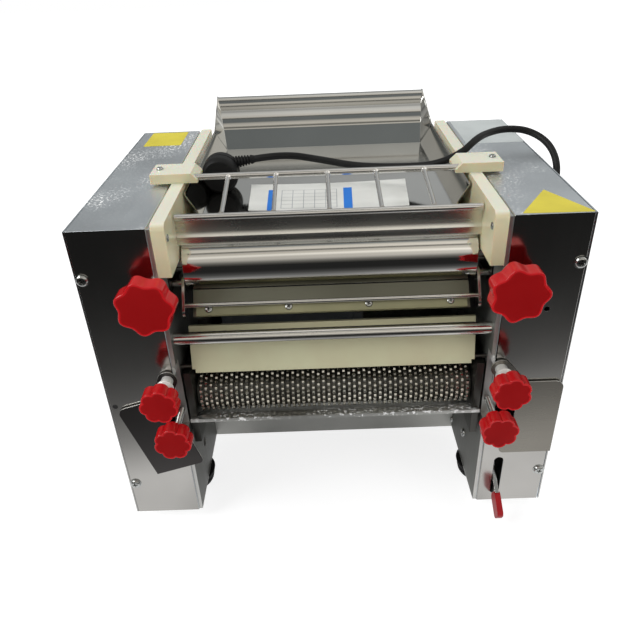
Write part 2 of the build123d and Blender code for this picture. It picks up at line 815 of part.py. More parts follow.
screw_middle = (scraper_bar_start + blade_length) / 2
screw_y, screw_z = on_blade(screw_middle, scraper_bar_thickness)
bar_face = Plane(origin=(0, screw_y, screw_z), x_dir=(1, 0, 0), z_dir=(0, outward[0], outward[1]))
scraper_screw_spots = [(x, 0) for x in scraper_screw_places]

with BuildPart() as front_scraper_bar:
    profile = [
        on_blade(scraper_bar_start, 0),
        on_blade(blade_length, 0),
        on_blade(blade_length, scraper_bar_thickness),
        on_blade(scraper_bar_start, scraper_bar_thickness),
    ]
    prism(side_plane(-scraper_bar_half), profile, 2 * scraper_bar_half)
    bore = scraper_screw_radius + seat_gap
    disc(bar_face, scraper_screw_spots, bore, -scraper_screw_depth, Mode.SUBTRACT)
keep("front_scraper_bar", front_scraper_bar)

with BuildPart() as scraper_screws:
    disc(bar_face, scraper_screw_spots, scraper_screw_radius, -scraper_screw_depth)
keep("scraper_screws", scraper_screws)

with BuildPart() as scraper_frame:
    rod_place = [(back(scraper_rod_back), down(scraper_rod_drop))]
    disc(side_plane(-scraper_arm_x), rod_place, scraper_rod_radius, 2 * scraper_arm_x)
    pin_place = (roller_y - scraper_pin_place[0], roller_z - scraper_pin_place[1])
    arm_low = on_blade(blade_length - scraper_arm_place[0], scraper_arm_place[1])
    for side in SIDES.values():
        start, width = span(side, scraper_arm_x, scraper_arm_x + scraper_arm_thickness)
        arm = [(*pin_place, scraper_arm_radii[0]), (*arm_low, scraper_arm_radii[1])]
        hull_of(side_plane(start), arm, width)
        start, width = span(side, scraper_arm_x, plate_inner)
        disc(side_plane(start), [pin_place], scraper_pin_radius, width)
keep("scraper_frame", scraper_frame)

with BuildPart() as rear_scraper:
    rear_edge_y = 2 * (roller_y + roller_centres / 2) - edge[0]
    rear_heel_y = rear_edge_y + scraper_run
    line = [(rear_edge_y, edge[1]), (rear_heel_y, heel[1]), (rear_heel_y, heel[1] - rear_scraper_tail)]
    prism(side_plane(-plate_inner), folded(line, sheet), frame_gap)
keep("rear_scraper", rear_scraper)

# ---------------------------------------------------------------- dough guide
with BuildPart() as guide_plate:
    top = (back(guide_top[0]), down(guide_top[1]))
    bottom = (back(guide_bottom[0]), down(guide_bottom[1]))
    profile = folded([bottom, top], guide_thickness)
    prism(side_plane(-guide_half), profile, 2 * guide_half)
    for side in SIDES.values():
        low_x, high_x = interval(side, guide_half - guide_notch[0], guide_half)
        notch_low = (low_x, bottom[1] - 1)
        notch_high = (high_x, bottom[1] + guide_notch[1])
        slab(front_plane(back(housing_depth / 2)), notch_low, notch_high, housing_depth, Mode.SUBTRACT)
        start, width = span(side, guide_half, plate_inner)
        for share in guide_pin_shares:
            pin_y = top[0] + share * (bottom[0] - top[0]) - guide_thickness / 2
            pin_z = top[1] + share * (bottom[1] - top[1])
            disc(side_plane(start), [(pin_y, pin_z)], guide_pin_radius, width)
keep("guide_plate", guide_plate)

# ---------------------------------------------------------------- noodle cutters
cutter_half = cutter_face / 2
core_radius = cutter_radius - cutter_ring_depth
ring_count = int(cutter_face // cutter_ring_pitch)


def cutter(y, count, shaft_end, tooth_angle):
    """A ringed cutter with its journals and its integral gear on the left."""
    axis_place = [(y, cutter_z)]
    disc(side_plane(-cutter_half), axis_place, core_radius, cutter_face)
    for i in range(count):
        ring_x = (i - (count - 1) / 2) * cutter_ring_pitch - cutter_ring_width / 2
        disc(side_plane(ring_x), axis_place, cutter_radius, cutter_ring_width)
    left_end = gear_plane_1 + gear_width
    disc(side_plane(-left_end), axis_place, cutter_journal, left_end + shaft_end)
    gear_teeth(-left_end, y, cutter_z, cutter_gear_teeth, cutter_module, tooth_angle)


with BuildPart() as cutter_roller_front:
    cutter(cutter_y, ring_count, cutter_pulley_x + pulley_width, 0)
keep("cutter_roller_front", cutter_roller_front)

with BuildPart() as cutter_roller_rear:
    cutter(rear_cutter_y, ring_count - 1, plate_outer, meshing_angle(0, cutter_gear_teeth))
keep("cutter_roller_rear", cutter_roller_rear)

boss_radius = cutter_journal + bush_wall
with BuildPart() as cutter_end_plates:
    for side in SIDES.values():
        start, width = span(side, cutter_side_x, cutter_side_x + cutter_side_thickness)
        low = (back(cutter_side_backs[0]), down(cutter_side_drops[1]))
        high = (back(cutter_side_backs[1]), down(cutter_side_drops[0]))
        slab(side_plane(start), low, high, width)
        start, width = span(side, cutter_side_x, plate_inner)
        disc(side_plane(start), cutter_axes, boss_radius, width)
        disc(side_plane(start), cutter_axes, cutter_journal + rest_gap, width, Mode.SUBTRACT)
keep("cutter_end_plates", cutter_end_plates)

with BuildPart() as apron:
    line = [
        (back(apron_end[0]), down(apron_end[1])),
        (back(apron_bend[0]), down(apron_bend[1])),
        (back(0), down(apron_lip_drops[1])),
        (back(0), down(apron_lip_drops[0])),
    ]
    prism(side_plane(-apron_half), folded(line, -thin_sheet), 2 * apron_half)
    for side in SIDES.values():
        low_x, high_x = interval(side, cutter_side_x, apron_half)
        notch_low = (low_x, down(cutter_side_drops[1]))
        notch_high = (high_x, down(cutter_side_drops[0]))
        notch_plane = front_plane(back(cutter_side_backs[0]))
        slab(notch_plane, notch_low, notch_high, -housing_depth / 2, Mode.SUBTRACT)
keep("apron", apron)

with BuildPart() as cutter_drive_pulley:
    pulley_shape(cutter_pulley_x, rear_roller_y, roller_z, cutter_pulley_radius, gear_bore)
keep("cutter_drive_pulley", cutter_drive_pulley)

with BuildPart() as cutter_pulley:
    pulley_shape(
        cutter_pulley_x, cutter_y, cutter_z, cutter_pulley_radius, cutter_journal + seat_gap
    )
keep("cutter_pulley", cutter_pulley)

belt_inset = (pulley_width - belt_width) / 2
with BuildPart() as cutter_belt:
    belt_shape(
        cutter_pulley_x + belt_inset,
        rear_roller_y,
        roller_z,
        cutter_pulley_radius,
        cutter_y,
        cutter_z,
        cutter_pulley_radius,
    )
keep("cutter_belt", cutter_belt)

# ---------------------------------------------------------------- drive
with BuildPart() as pinion_shaft:
    shaft_end = pulley_plane + pulley_width
    counter_place = [(counter_y, counter_z)]
    disc(side_plane(-shaft_end), counter_place, gear_seat_radius, shaft_end - plate_inner)
    tooth = meshing_angle(counter_direction, pinion_teeth)
    start = -gear_plane_2 - gear_width
    gear_teeth(start, counter_y, counter_z, pinion_teeth, main_gear_module, tooth)
keep("pinion_shaft", pinion_shaft)

with BuildPart() as big_pulley:
    start = -pulley_plane - pulley_width
    pulley_shape(start, counter_y, counter_z, big_pulley_radius, gear_bore)
    for angle in range(0, 360, 60):
        hole_y = counter_y + pulley_hole_ring * cos(radians(angle))
        hole_z = counter_z + pulley_hole_ring * sin(radians(angle))
        disc(side_plane(start), [(hole_y, hole_z)], pulley_hole_radius, pulley_width, Mode.SUBTRACT)
keep("big_pulley", big_pulley)

with BuildPart() as motor_pulley:
    start = -pulley_plane - pulley_width
    pulley_shape(start, motor_y, motor_z, motor_pulley_radius, motor_shaft_radius + seat_gap)
keep("motor_pulley", motor_pulley)

with BuildPart() as drive_belt:
    belt_shape(
        -pulley_plane - pulley_width + belt_inset,
        counter_y,
        counter_z,
        big_pulley_radius,
        motor_y,
        motor_z,
        motor_pulley_radius,
    )
keep("drive_belt", drive_belt)

motor_low, motor_high = motor_reach
motor_place = [(motor_y, motor_z)]
with BuildPart() as motor_shell:
    body_length = motor_high - motor_low - 2 * motor_cap
    body_start = side_plane(motor_low + motor_cap)
    foot_low = (motor_y - motor_foot_half, foot_height + sheet)
    foot_high = (motor_y + motor_foot_half, motor_z)
    slab(body_start, foot_low, foot_high, body_length)
    disc(body_start, motor_place, motor_radius, body_length)
    disc(body_start, motor_place, motor_radius - motor_wall, body_length, Mode.SUBTRACT)
keep("motor_shell", motor_shell)

with BuildPart() as motor_end_caps:
    for cap_start in (motor_low, motor_high - motor_cap):
        disc(side_plane(cap_start), motor_place, motor_radius, motor_cap)
        bore = motor_shaft_radius + running_gap
        disc(side_plane(cap_start), motor_place, bore, motor_cap, Mode.SUBTRACT)
keep("motor_end_caps", motor_end_caps)

with BuildPart() as motor_rotor:
    shaft_low = -pulley_plane - pulley_width
    disc(side_plane(shaft_low), motor_place, motor_shaft_radius, motor_high - shaft_low)
    rotor_start = motor_low + rotor_margin
    disc(side_plane(rotor_start), motor_place, rotor_radius, motor_high - motor_low - 2 * rotor_margin)
keep("motor_rotor", motor_rotor)

# ---------------------------------------------------------------- clutch lever
slope = radians(lever_slope)
lever_along = (-cos(slope), -sin(slope))
lever_across = (-sin(slope), cos(slope))


def on_lever(reach, lift):
    """Place this far down the lever's front arm and this far above its middle line."""
    y = lever_y + reach * lever_along[0] + lift * lever_across[0]
    z = lever_z + reach * lever_along[1] + lift * lever_across[1]
    return (y, z)


belt_run_y = rear_roller_y - cutter_y
belt_run_z = roller_z - cutter_z
belt_run = hypot(belt_run_y, belt_run_z)
jockey_y = (rear_roller_y + cutter_y) / 2 + jockey_offset * belt_run_z / belt_run
jockey_z = (roller_z + cutter_z) / 2 - jockey_offset * belt_run_y / belt_run
axle_length = cutter_pulley_x + pulley_width - lever_x

with BuildPart() as clutch_lever:
    face = side_plane(lever_x)
    half = lever_depth / 2
    front_arm = [
        on_lever(0, -half),
        on_lever(lever_front_reach, -half),
        on_lever(lever_front_reach, half),
        on_lever(0, half),
    ]
    prism(face, front_arm, lever_thickness)
    jockey_arm = [(lever_y, lever_z, lever_hub_radius), (jockey_y, jockey_z, jockey_arm_radius)]
    hull_of(face, jockey_arm, lever_thickness)
    pin_start = plate_outer - lever_pin_depth
    disc(side_plane(pin_start), [(lever_y, lever_z)], lever_pin_radius, lever_x - pin_start)
    disc(face, [(jockey_y, jockey_z)], jockey_axle_radius, axle_length)
keep("clutch_lever", clutch_lever)

with BuildPart() as lever_grip:
    grip_start = lever_x + lever_thickness / 2 - grip_thickness / 2
    half = grip_depth / 2
    grip_outline = [
        on_lever(grip_reach - grip_length, -half),
        on_lever(grip_reach, -half),
        on_lever(grip_reach, half),
        on_lever(grip_reach - grip_length, half),
    ]
    prism(side_plane(grip_start), grip_outline, grip_thickness)
    fillet(lever_grip.edges().filter_by(Axis.X), grip_corner)
    half = lever_depth / 2
    pocket = [
        on_lever(grip_reach - grip_length - 1, -half),
        on_lever(lever_front_reach, -half),
        on_lever(lever_front_reach, half),
        on_lever(grip_reach - grip_length - 1, half),
    ]
    prism(side_plane(lever_x), pocket, lever_thickness, Mode.SUBTRACT)
keep("lever_grip", lever_grip)

with BuildPart() as jockey_wheel:
    face = side_plane(cutter_pulley_x)
    disc(face, [(jockey_y, jockey_z)], jockey_radius, pulley_width)
    bore = jockey_axle_radius + running_gap
    disc(face, [(jockey_y, jockey_z)], bore, pulley_width, Mode.SUBTRACT)
keep("jockey_wheel", jockey_wheel)

# ---------------------------------------------------------------- knobs and flaps
gap_stud_end = roller_back - block_front + stud_socket_depth - slide_gap
clamp_stud_end = stud_recess + clamp_stud_depth - slide_gap
for name, side in SIDES.items():
    star_knob(
        "gap_knob_" + name,
        side * gap_stud_x,
        roller_z,
        big_knob_standoff,
        big_knob_radius,
        big_knob_thickness,
        gap_stud_radius,
        gap_stud_end,
    )
    clamp_knobs = zip(("mid", "low"), clamp_places, (mid_knob_standoff, low_knob_standoff))
    for level, (stud_x, stud_drop), standoff in clamp_knobs:
        star_knob(
            "clamp_knob_" + level + "_" + name,
            side * stud_x,
            down(stud_drop),
            standoff,
            small_knob_radius,
            small_knob_thickness,
            clamp_stud_radius,
            clamp_stud_end,
        )

flap_front = flap_standoff + flap_thickness
collar_front = mid_knob_standoff - knob_hub_height - rest_gap
with BuildPart() as flap_collars:
    for side in SIDES.values():
        place = [(side * mid_stud_x, down(mid_stud_drop))]
        neck_reach = collar_front - flap_front
        disc(front_plane(back(-flap_front)), place, collar_neck_radius, neck_reach)
        disc(front_plane(back(-collar_step)), place, collar_radius, collar_front - collar_step)
        disc(front_plane(back(stud_recess)), place, sleeve_radius, stud_recess + flap_standoff)
        bore = clamp_stud_radius + rest_gap
        whole = collar_front + stud_recess
        disc(front_plane(back(stud_recess)), place, bore, whole, Mode.SUBTRACT)
keep("flap_collars", flap_collars)

for name, side in SIDES.items():
    pivot_x = side * mid_stud_x
    pivot_z = down(mid_stud_drop)
    flap_plane = front_plane(back(-flap_standoff))
    with BuildPart() as flap:
        flap_top = down(flap_drops[0])
        flap_bottom = down(flap_drops[1])
        notch_z = down(flap_notch_drop)
        outline = [
            (side * flap_notch_reach, flap_top),
            (side * side_x, flap_top),
            (side * side_x, flap_bottom),
            (side * flap_reach, flap_bottom),
            (side * flap_reach, notch_z),
            (side * flap_notch_reach, notch_z),
        ]
        prism(flap_plane, outline, flap_thickness)
        outer_first = flap.edges().filter_by(Axis.Y).sort_by(Axis.X, reverse=side > 0)
        fillet(outer_first[:2].sort_by(Axis.Z)[-1], flap_corner)
        lowest = flap.edges().filter_by(Axis.Y).group_by(Axis.Z)[0]
        fillet(lowest.sort_by(Axis.X, reverse=side < 0)[0], flap_lower_corner)
        ear_end = (side * flap_ear_end[0], down(flap_ear_end[1]), flap_ear_radius)
        hull_of(flap_plane, [(pivot_x, pivot_z, flap_ear_radius), ear_end], flap_thickness)
        bore = clamp_stud_radius + flap_hole_gap
        disc(flap_plane, [(pivot_x, pivot_z)], bore, flap_thickness, Mode.SUBTRACT)
    if side < 0:
        hinge_line = Axis((pivot_x, 0, pivot_z), (0, -1, 0))
        flap.part = flap.part.rotate(hinge_line, flap_swing)
    keep("flap_" + name, flap)

# ---------------------------------------------------------------- switch and inlet
rear_y = back(housing_depth)
switch_z = down(switch_drop)
with BuildPart() as switch_frame:
    half_x = switch_well_size[0] / 2
    half_z = switch_well_size[1] / 2
    outer_low = (switch_x - switch_frame_size[0] / 2, switch_z - switch_frame_size[1] / 2)
    outer_high = (switch_x + switch_frame_size[0] / 2, switch_z + switch_frame_size[1] / 2)
    slab(front_plane(rear_y), outer_low, outer_high, -switch_lip)
    shell_low = (switch_x - half_x - switch_wall, switch_z - half_z - switch_wall)
    shell_high = (switch_x + half_x + switch_wall, switch_z + half_z + switch_wall)
    slab(front_plane(rear_y), shell_low, shell_high, switch_well_depth)
    well_low = (switch_x - half_x, switch_z - half_z)
    well_high = (switch_x + half_x, switch_z + half_z)
    well_floor = front_plane(rear_y - switch_well_depth + switch_wall)
    slab(well_floor, well_low, well_high, -switch_well_depth - switch_lip, Mode.SUBTRACT)
    pivot = [(rear_y - rocker_pivot_depth, switch_z)]
    socket_half = rocker_width / 2 + rocker_pin_reach + slide_gap
    bore = rocker_pin_radius + running_gap
    disc(side_plane(switch_x - socket_half), pivot, bore, 2 * socket_half, Mode.SUBTRACT)
keep("switch_frame", switch_frame)

with BuildPart() as switch_rocker:
    pivot_y = rear_y - rocker_pivot_depth
    points = [(pivot_y + out, switch_z + rise) for out, rise in rocker_profile]
    prism(side_plane(switch_x - rocker_width / 2), points, rocker_width)
    pin_half = rocker_width / 2 + rocker_pin_reach
    disc(side_plane(switch_x - pin_half), pivot, rocker_pin_radius, 2 * pin_half)
keep("switch_rocker", switch_rocker)

with BuildPart() as cord_gland:
    gland_place = [(gland_x, down(gland_drop))]
    with BuildSketch(front_plane(rear_y)) as gland_foot:
        with Locations(*gland_place):
            Circle(gland_radius)
    with BuildSketch(front_plane(rear_y + gland_length)) as gland_nose:
        with Locations(*gland_place):
            Circle(gland_nose_radius)
    loft(sections=[gland_foot.sketch, gland_nose.sketch])
    disc(front_plane(rear_y), gland_place, gland_thread_radius, gland_thread_length)
keep("cord_gland", cord_gland)

# ---------------------------------------------------------------- plug and cord
plug_z = down(chute_floor_drop) + plug_radius
cord_places = (
    (-74, 165, 3),
    (-43, 166, 7),
    (-5, 165, 0),
    (33, 163, -8),
    (74, 150, -6),
    (108, 136, -1),
    (134, 137, 10),
    (149, 150, 19),
    (166, 174, 18),
    (188, 185, 19),
    (211, 182, 17),
    (228, 166, 8),
    (233, 146, -8),
    (229, 135, -32),
    (228, 137, -95),
    (228, 139, -155),
    (229, 143, -215),
    (230, 150, -270),
    (231, 170, -315),
    (232, 205, -334),
    (233, 250, -336.5),
    (231, 295, -336.5),
    (216, 333, -334),
    (196, 352, -316),
    (180, 364, -288),
    (170, 368, -262),
    (170, 368, -244.3),
    (170, 357.3, -225.7),
    (170, 338.7, -215),
    (gland_x, housing_depth + gland_length, -gland_drop),
)
route = [Vector(x, back(y), deck_z + z) for x, y, z in cord_places]

with BuildPart() as plug:
    plug_place = [(plug_x, plug_z)]
    disc(front_plane(back(plug_backs[1])), plug_place, plug_radius, plug_backs[1] - plug_backs[0])
    rims = plug.edges().filter_by(GeomType.CIRCLE)
    chamfer(rims, plug_edge)
    relief_plane = Plane(origin=route[0], z_dir=route[1] - route[0])
    disc(relief_plane, [(0, 0)], relief_radius, -relief_length)
    pin_spots = [(plug_x + way * plug_pin_half_spacing, plug_z) for way in (-1, 1)]
    disc(front_plane(back(plug_backs[1])), pin_spots, plug_pin_radius, -plug_pin_length)
keep("plug", plug)

bend_radii = []
for before, here, after in zip(route, route[1:], route[2:]):
    arrival = here - before
    departure = after - here
    half_turn = radians(arrival.get_angle(departure)) / 2
    bend_radii.append(0.45 * min(arrival.length, departure.length) / tan(half_turn))
print("cord bend radii", [round(radius, 1) for radius in bend_radii])
print("cord runs", [round((b - a).length, 1) for a, b in zip(route, route[1:])])

with BuildPart() as cord:
    with BuildLine() as cord_path:
        FilletPolyline(*route, radius=bend_radii)
    with BuildSketch(Plane(origin=route[0], z_dir=route[1] - route[0])):
        Circle(cord_diameter / 2)
    sweep()
cord_length = sum(edge.length for edge in cord_path.edges())
cord_section = pi * cord_diameter ** 2 / 4
print("cord length", round(cord_length, 1), "by volume", round(cord.part.volume / cord_section, 1))
keep("cord", cord)
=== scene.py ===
import json
from math import atan2, cos, hypot, pi, radians, sin

import bmesh
import bpy
from bpy.props import FloatProperty, FloatVectorProperty, IntProperty, PointerProperty
from mathutils import Matrix, Vector


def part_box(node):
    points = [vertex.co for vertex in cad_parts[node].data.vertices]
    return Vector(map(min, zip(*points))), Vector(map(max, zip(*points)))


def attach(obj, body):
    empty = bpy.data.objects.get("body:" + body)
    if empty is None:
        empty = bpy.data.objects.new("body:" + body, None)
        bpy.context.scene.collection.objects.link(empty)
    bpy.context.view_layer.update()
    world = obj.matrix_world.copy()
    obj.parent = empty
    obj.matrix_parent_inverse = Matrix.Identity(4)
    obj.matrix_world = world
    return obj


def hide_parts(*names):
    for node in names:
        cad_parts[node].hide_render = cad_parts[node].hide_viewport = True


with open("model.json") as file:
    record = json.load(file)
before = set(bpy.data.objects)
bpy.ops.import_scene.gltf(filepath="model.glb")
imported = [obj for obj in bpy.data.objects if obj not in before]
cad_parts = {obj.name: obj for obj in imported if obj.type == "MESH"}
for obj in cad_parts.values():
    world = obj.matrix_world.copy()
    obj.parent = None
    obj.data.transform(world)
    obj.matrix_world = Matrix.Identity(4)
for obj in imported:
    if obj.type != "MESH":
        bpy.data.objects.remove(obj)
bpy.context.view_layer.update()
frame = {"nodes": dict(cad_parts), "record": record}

bl_info = {
    "name": "Dough sheeter and noodle cutter",
    "version": (1, 0, 0),
    "blender": (4, 5, 0),
    "location": "3D View > Sidebar > Sheeter",
    "description": "Dresses the CAD model of a countertop dough sheeter with its finished parts and surfaces",
    "category": "Object",
}

NODES = frame["nodes"]
HOME = {node: body for body, nodes in frame["record"]["behaviour"]["bodies"].items() for node in nodes}

# The housings' front face and the deck, which every place below is taken from.
FRONT_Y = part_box("casing_left")[0].y
DECK_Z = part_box("casing_left")[1].z

# Millimetres across, behind the front face and below or above the deck.
HOUSING_DEPTH = 296.0
SCREW_SIDES = (-208.5, 208.5)
SCREW_DROPS = (44.0, 282.0)
FOOT_SIDES = (-165.5, 165.5)
FOOT_BACKS = (63.0, 233.0)
ROLLER_BACKS = (57.0, 113.8)
ROLLER_DROP = 56.0
CUTTER_BACKS = (36.0, 76.0)
CUTTER_DROP = 190.0
CLAMP_DROPS = (149.0, 196.0)
CHUTE_FLOOR_DROP = 25.7
GUARD_BAR = (0, 36.0, -6.0)
GUARD_HINGE = (0, 104.5, 6.5)
GLAND = (170.0, 296.0, -215.0)
PLUG = (-107.0, 173.0, -7.8)

# Metres.
GUARD_WIRES = (-0.092, -0.047, 0.001, 0.046, 0.091)
GUIDE_END = 0.13305
ROLLER_HALF = 0.131
ROLLER_RADIUS = 0.028
ROLLER_REACH = 0.1585
WIDE_SHAFT = 0.009
CUTTER_ROOT = 0.0183
CUTTER_TIP = 0.0212
CUTTER_TEETH = 22

# Scales of the noises that the finishes share, and the colour of flour.
SMEARS = 9.0
CLOUDS = 14.0
MOTTLES = 25.0
FLOUR = (0.86, 0.86, 0.84, 1)


def spot(x, back, rise):
    """Place in metres from millimetres across, behind the front face and above the deck."""
    return Vector((x / 1000, FRONT_Y + back / 1000, DECK_Z + rise / 1000))


# ---------------------------------------------------------------- materials
def add_node(tree, kind, sockets=None, **settings):
    """A shader node with its settings, and a constant or another node's output on its sockets."""
    made = tree.nodes.new("ShaderNode" + kind)
    for setting, value in settings.items():
        setattr(made, setting, value)
    for socket, value in (sockets or {}).items():
        if isinstance(value, bpy.types.NodeSocket):
            tree.links.new(value, made.inputs[socket])
        else:
            made.inputs[socket].default_value = value
    return made.outputs


def math(tree, operation, *values):
    """The number that a sum makes of its values."""
    return add_node(tree, "Math", dict(enumerate(values)), operation=operation)["Value"]


def blend(tree, under, over, share, blend_type="MIX"):
    """The colour between two colours at a share."""
    sockets = {"A": under, "B": over, "Factor": share}
    return add_node(tree, "Mix", sockets, data_type="RGBA", blend_type=blend_type)["Result"]


def new_material(name, colour, metallic, roughness, **more):
    """A material whose one shader holds these values, with its node tree and shader."""
    made = bpy.data.materials.new(name)
    made.use_nodes = True
    tree = made.node_tree
    shader = tree.nodes["Principled BSDF"]
    shader.inputs["Base Color"].default_value = (*colour, 1)
    shader.inputs["Metallic"].default_value = metallic
    shader.inputs["Roughness"].default_value = roughness
    for socket, value in more.items():
        shader.inputs[socket.replace("_", " ")].default_value = value
    return made, tree, shader


def pattern(tree, scale, detail=3.0, stretch=(1, 1, 1)):
    """A noise on object coordinates, stretched along an axis by a small factor there."""
    place = add_node(tree, "TexCoord")["Object"]
    turned_place = add_node(tree, "Mapping", {"Vector": place, "Scale": stretch})["Vector"]
    return add_node(tree, "TexNoise", {"Vector": turned_place, "Scale": scale, "Detail": detail})["Fac"]


def ramp(tree, factor, stops):
    """A colour ramp over (position, grey or colour) stops."""
    colour = add_node(tree, "ValToRGB", {"Fac": factor})["Color"]
    points = colour.node.color_ramp.elements
    while len(points) < len(stops):
        points.new(0.5)
    for point, (position, value) in zip(points, stops):
        point.position = position
        point.color = (value, value, value, 1) if isinstance(value, float) else (*value, 1)
    return colour


def finish_surface(tree, shader, colour, factor, roughness, height, strength, distance):
    """Join a colour, a roughness that the factor varies between two, and a bump to the shader."""
    low, high = roughness
    rough = add_node(tree, "MapRange", {"Value": factor, "To Min": low, "To Max": high})["Result"]
    bump = add_node(tree, "Bump", {"Height": height, "Strength": strength, "Distance": distance})["Normal"]
    for socket, value in (("Base Color", colour), ("Roughness", rough), ("Normal", bump)):
        tree.links.new(value, shader.inputs[socket])


def tinted(colour, *shares):
    """A colour times one share, or times a share for each channel."""
    return tuple(channel * share for channel, share in zip(colour, shares * 3))


def steel(
    name,
    colour,
    roughness,
    stretch,
    contrast=0.12,
    spread=0.3,
    streaks=260.0,
    depth=0.00002,
    metallic=1.0,
    flour=None,
):
    """Steel whose grain runs along the axis that stretch makes small, with or without flour on it."""
    made, tree, shader = new_material(name, colour, metallic, roughness)
    grain = pattern(tree, streaks, 4.0, stretch)
    smear = pattern(tree, SMEARS)
    light = tuple(min(1.0, channel * (1 + contrast)) for channel in colour)
    shades = ramp(tree, smear, ((0.3, tinted(colour, 1 - contrast)), (0.7, light)))
    if flour:
        size, first_cloud, full_cloud = flour
        dots = ramp(tree, pattern(tree, size, 1.0), ((0.565, 0.07), (0.625, 1.0)))
        haze = ramp(tree, pattern(tree, CLOUDS, 4.0), ((first_cloud, 0.08), (full_cloud, 0.95)))
        dust = math(tree, "MULTIPLY", dots, haze)
        shades = blend(tree, shades, FLOUR, dust)
        tree.links.new(math(tree, "SUBTRACT", 1.0, dust), shader.inputs["Metallic"])
    wear = math(tree, "MULTIPLY_ADD", grain, 0.5, smear)
    rough = (roughness * (1 - spread), roughness * (1 + spread))
    finish_surface(tree, shader, shades, wear, rough, grain, 0.25, depth)
    return made


def moulded(name, dark, light, roughness, bumps=700.0, depth=0.00002, specular=0.5, dust=None, **more):
    """Moulded plastic, nylon or rubber with a fine surface, dusted with a colour where it looks up."""
    made, tree, shader = new_material(name, light, 0.0, roughness, Specular_IOR_Level=specular, **more)
    broad = pattern(tree, MOTTLES)
    shades = ramp(tree, broad, ((0.3, dark), (0.7, light)))
    if dust:
        upward = add_node(tree, "SeparateXYZ", {"Vector": add_node(tree, "NewGeometry")["Normal"]})["Z"]
        shades = blend(tree, shades, (*dust, 1), ramp(tree, upward, ((0.55, 0.0), (0.90, 0.8))))
    rough = (roughness * 0.8, roughness * 1.25)
    finish_surface(tree, shader, shades, broad, rough, pattern(tree, bumps, 2.0), 0.2, depth)
    return made


